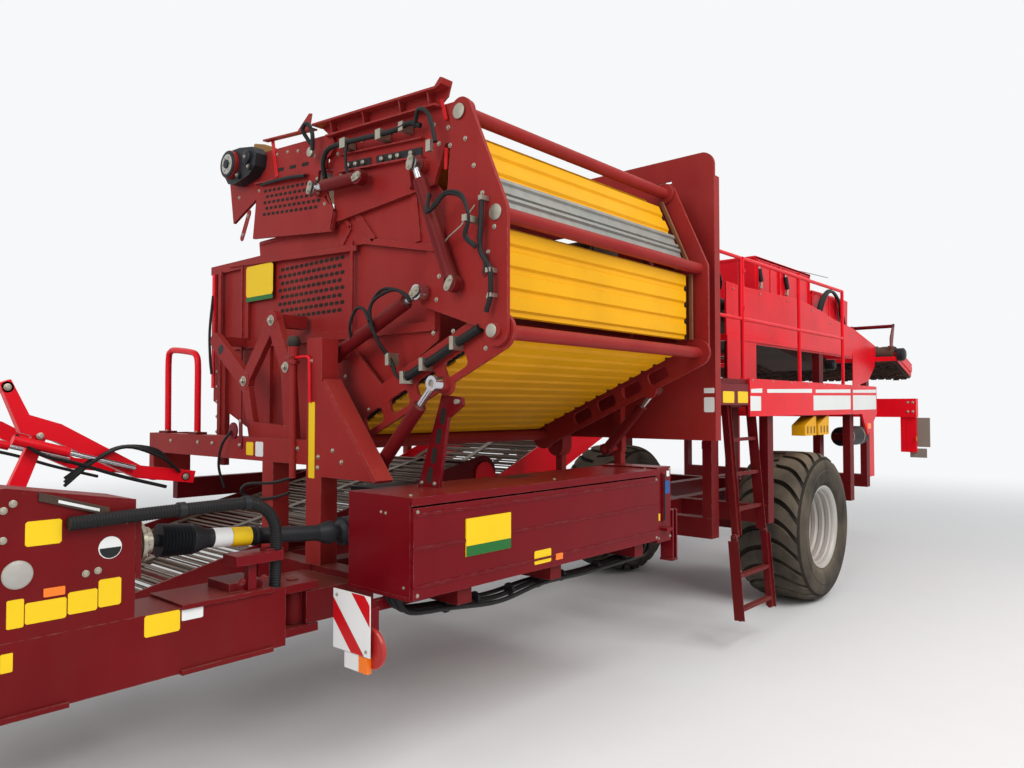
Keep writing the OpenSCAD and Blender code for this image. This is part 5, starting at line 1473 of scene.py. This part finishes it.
class HARVESTER_OT_hood(bpy.types.Operator):
    """Bolts, latches, hoses, motors and antenna of the hood, the web's flights and the rear boards"""
    bl_idname = "harvester.hood"
    bl_label = "Hood fittings"

    def execute(self, context):
        part = Piece("hood_fittings").of("zinc")
        part.bolts_on("y", 1000, ((-1300, 3040), (-1900, 3050), (-2600, 3060), (-3300, 3020),
                                  (-3900, 2930), (-4600, 2830), (-1250, 2400), (-1700, 2300),
                                  (-5000, 2560), (-5440, 2560)), 10)
        for x0, x1 in ((-2722, -2751), (-3451, -3484)):
            part.of("plastic").tube([(x0, 640, 3460), (x1, 650, 3320)], [26, 26], 12)
            part.of("zinc")
            part.tube([(x0, 640, 3500), (x0, 640, 3460)], 12, 10)
            part.tube([(x1, 650, 3320), (x1, 650, 3270)], 12, 10)
            part.block((x0 - 30, 618, 3500), (x0 + 30, 652, 3524))
            part.block((x1 - 30, 618, 3250), (x1 + 30, 652, 3272))
        part.of("sunlit red")
        for x in (-4230, -3900, -3300, -2700):
            part.plate("x", x, x + 8, [(620, 3070), (640, 3070), (640, 3560), (620, 3590)])
        part.plate("y", 618, 628, [(-4268, 3592), (-2662, 3592), (-2662, 3560), (-4268, 3560)])
        part.of("plastic")
        part.tube([(-4200, 400, 3600), (-4240, 400, 3690), (-4900, 400, 3720), (-5560, 400, 3746)], 4, 8)
        part.tube([(-4200, 400, 3590), (-4200, 400, 3640)], 16, 12)
        part.of("hose")
        for k in range(4):
            part.hose([(-4420 - 40 * k, 640, 3080), (-4460 - 60 * k, 690, 3300 + 20 * k),
                       (-4700 - 60 * k, 700, 3440), (-5000 - 60 * k, 690, 3400 - 30 * k),
                       (-5300, 680 - 10 * k, 3180), (-5480, 660, 2960)], 15 + 2 * (k % 2))
        for k in range(3):
            part.hose([(-5590, 300 + 60 * k, 3300), (-5720, 330 + 60 * k, 3360),
                       (-5860, 340 + 60 * k, 3200), (-5880, 330 + 60 * k, 2980),
                       (-5800, 320 + 60 * k, 2790)], 18)
        part.hose([(-1200, 760, 3180), (-1350, 800, 3250), (-1500, 780, 3170), (-1650, 700, 3120)], 18)
        part.hose([(-1200, 700, 3180), (-1300, 720, 3290), (-1450, 650, 3240), (-1600, 600, 3130)], 14)
        # Motor at the picking table's head and the rear drive
        part.of("plastic").turned("y", (-1250, 812, 2890),
                                  [(70, 0), (70, 90), (52, 110), (52, 150), (0, 150)], 24)
        part.turned("y", (-4300, 812, 2460), [(64, 0), (64, 80), (48, 100), (0, 100)], 24)
        part.turned("y", (-5720, 1252, 2640), [(86, 0), (86, 70), (60, 90), (0, 90)], 28)
        part.of("sunlit red").plate("y", 1251, 1259, rounded((-6040, 2550), 700, 90, 0.28))
        part.plate("y", 640, 652, [(-5590, 3390), (-5100, 3410), (-5350, 3120), (-5560, 3000)])
        part.of("shaded red")
        for y0 in (640, 1180):
            part.plate("y", y0, y0 + 14, [(-5600, 2700), (-5600, 2860), (-5740, 3060), (-5800, 3060),
                                          (-5700, 2760)])
        part.tube([(-5760, 640, 3030), (-5760, 1194, 3030)], 24, 16)
        part.done("chassis", "bright_red", 0.8)
        # Ragged rubber flights on the rear web
        flight = Piece("rear_web_flights").of("rubber")
        a, b = REAR_WEB
        n = 16
        for i in range(n):
            for side, rise in ((-1, -1), (1, 1)):
                at = along(a, b, 20 + i * (math.dist(a, b) - 40) / (n - 1), 0)
                turn = math.atan2(b[1] - a[1], b[0] - a[0])
                for k in range(27):
                    tall = 26 + 14 * math.sin(1.7 * k + 2.3 * i) * math.cos(0.9 * i + k)
                    nx, nz = -math.sin(turn) * rise, math.cos(turn) * rise
                    tx, tz = math.cos(turn), math.sin(turn)
                    y0 = -1464 + 99 * k + 14 * (i % 2)
                    base, top = 108, 110 + tall
                    low = [(at[0] + nx * base + tx * s, at[1] + nz * base + tz * s) for s in (-9, 9)]
                    high = [(at[0] + nx * top + tx * s, at[1] + nz * top + tz * s) for s in (-5, 5)]
                    flight.plate("y", y0, y0 + 74, low + high[::-1])
        flight.done("chassis", "rubber")
        rear = Piece("rear_boards").of("board")
        for s in (-1, 1):
            rear.plate("x", -5652, -5646, [(s * 1390, 1420), (s * 1640, 1420), (s * 1640, 1800),
                                           (s * 1390, 1800)])
            rear.plate("x", -5652, -5646, [(s * 1400, 1280), (s * 1600, 1280), (s * 1600, 1400),
                                           (s * 1400, 1400)])
        rear.of("zinc").bolts("x", [(-5560, s * y, z) for s in (-1, 1) for y in (1400, 1460, 700,
                200) for z in (1880, 2000)], 12)
        rear.of("orange lens").block((-5600, 1492, 1500), (-5560, 1500, 1560))
        rear.done("chassis", "dark_red", 0.8)
        return {"FINISHED"}


# Panel, and the order of work

class HARVESTER_PT_panel(bpy.types.Panel):
    """Lists the steps that finish the harvester"""
    bl_idname = "HARVESTER_PT_panel"
    bl_label = "Potato harvester"
    bl_space_type = "VIEW_3D"
    bl_region_type = "UI"
    bl_category = "Harvester"

    def draw(self, context):
        for step in STEPS:
            self.layout.operator(step.bl_idname)
        for group in GROUPS:
            box = self.layout.box()
            for name in GROUPS[group].__annotations__:
                box.prop(settings(group), name)


GROUPS = {"paint": PaintSettings, "tyre": TyreSettings, "hose": HoseSettings, "stage": StageSettings}
STEPS = (HARVESTER_OT_camera, HARVESTER_OT_paint, HARVESTER_OT_drawbar, HARVESTER_OT_drive_shaft,
         HARVESTER_OT_marker, HARVESTER_OT_wheels, HARVESTER_OT_side_box, HARVESTER_OT_boom,
         HARVESTER_OT_front, HARVESTER_OT_front_frame, HARVESTER_OT_panels, HARVESTER_OT_webs,
         HARVESTER_OT_deck, HARVESTER_OT_hood, HARVESTER_OT_stage)


def register():
    for group, made in GROUPS.items():
        bpy.utils.register_class(made)
        setattr(bpy.types.Scene, "harvester_" + group, PointerProperty(type=made))
    for made in (*STEPS, HARVESTER_PT_panel):
        bpy.utils.register_class(made)


def unregister():
    for made in (HARVESTER_PT_panel, *STEPS[::-1]):
        bpy.utils.unregister_class(made)
    for group, made in GROUPS.items():
        delattr(bpy.types.Scene, "harvester_" + group)
        bpy.utils.unregister_class(made)


def main():
    register()
    for step in STEPS:
        group, name = step.bl_idname.split(".")
        getattr(getattr(bpy.ops, group), name)()


if __name__ == "__main__":
    main()
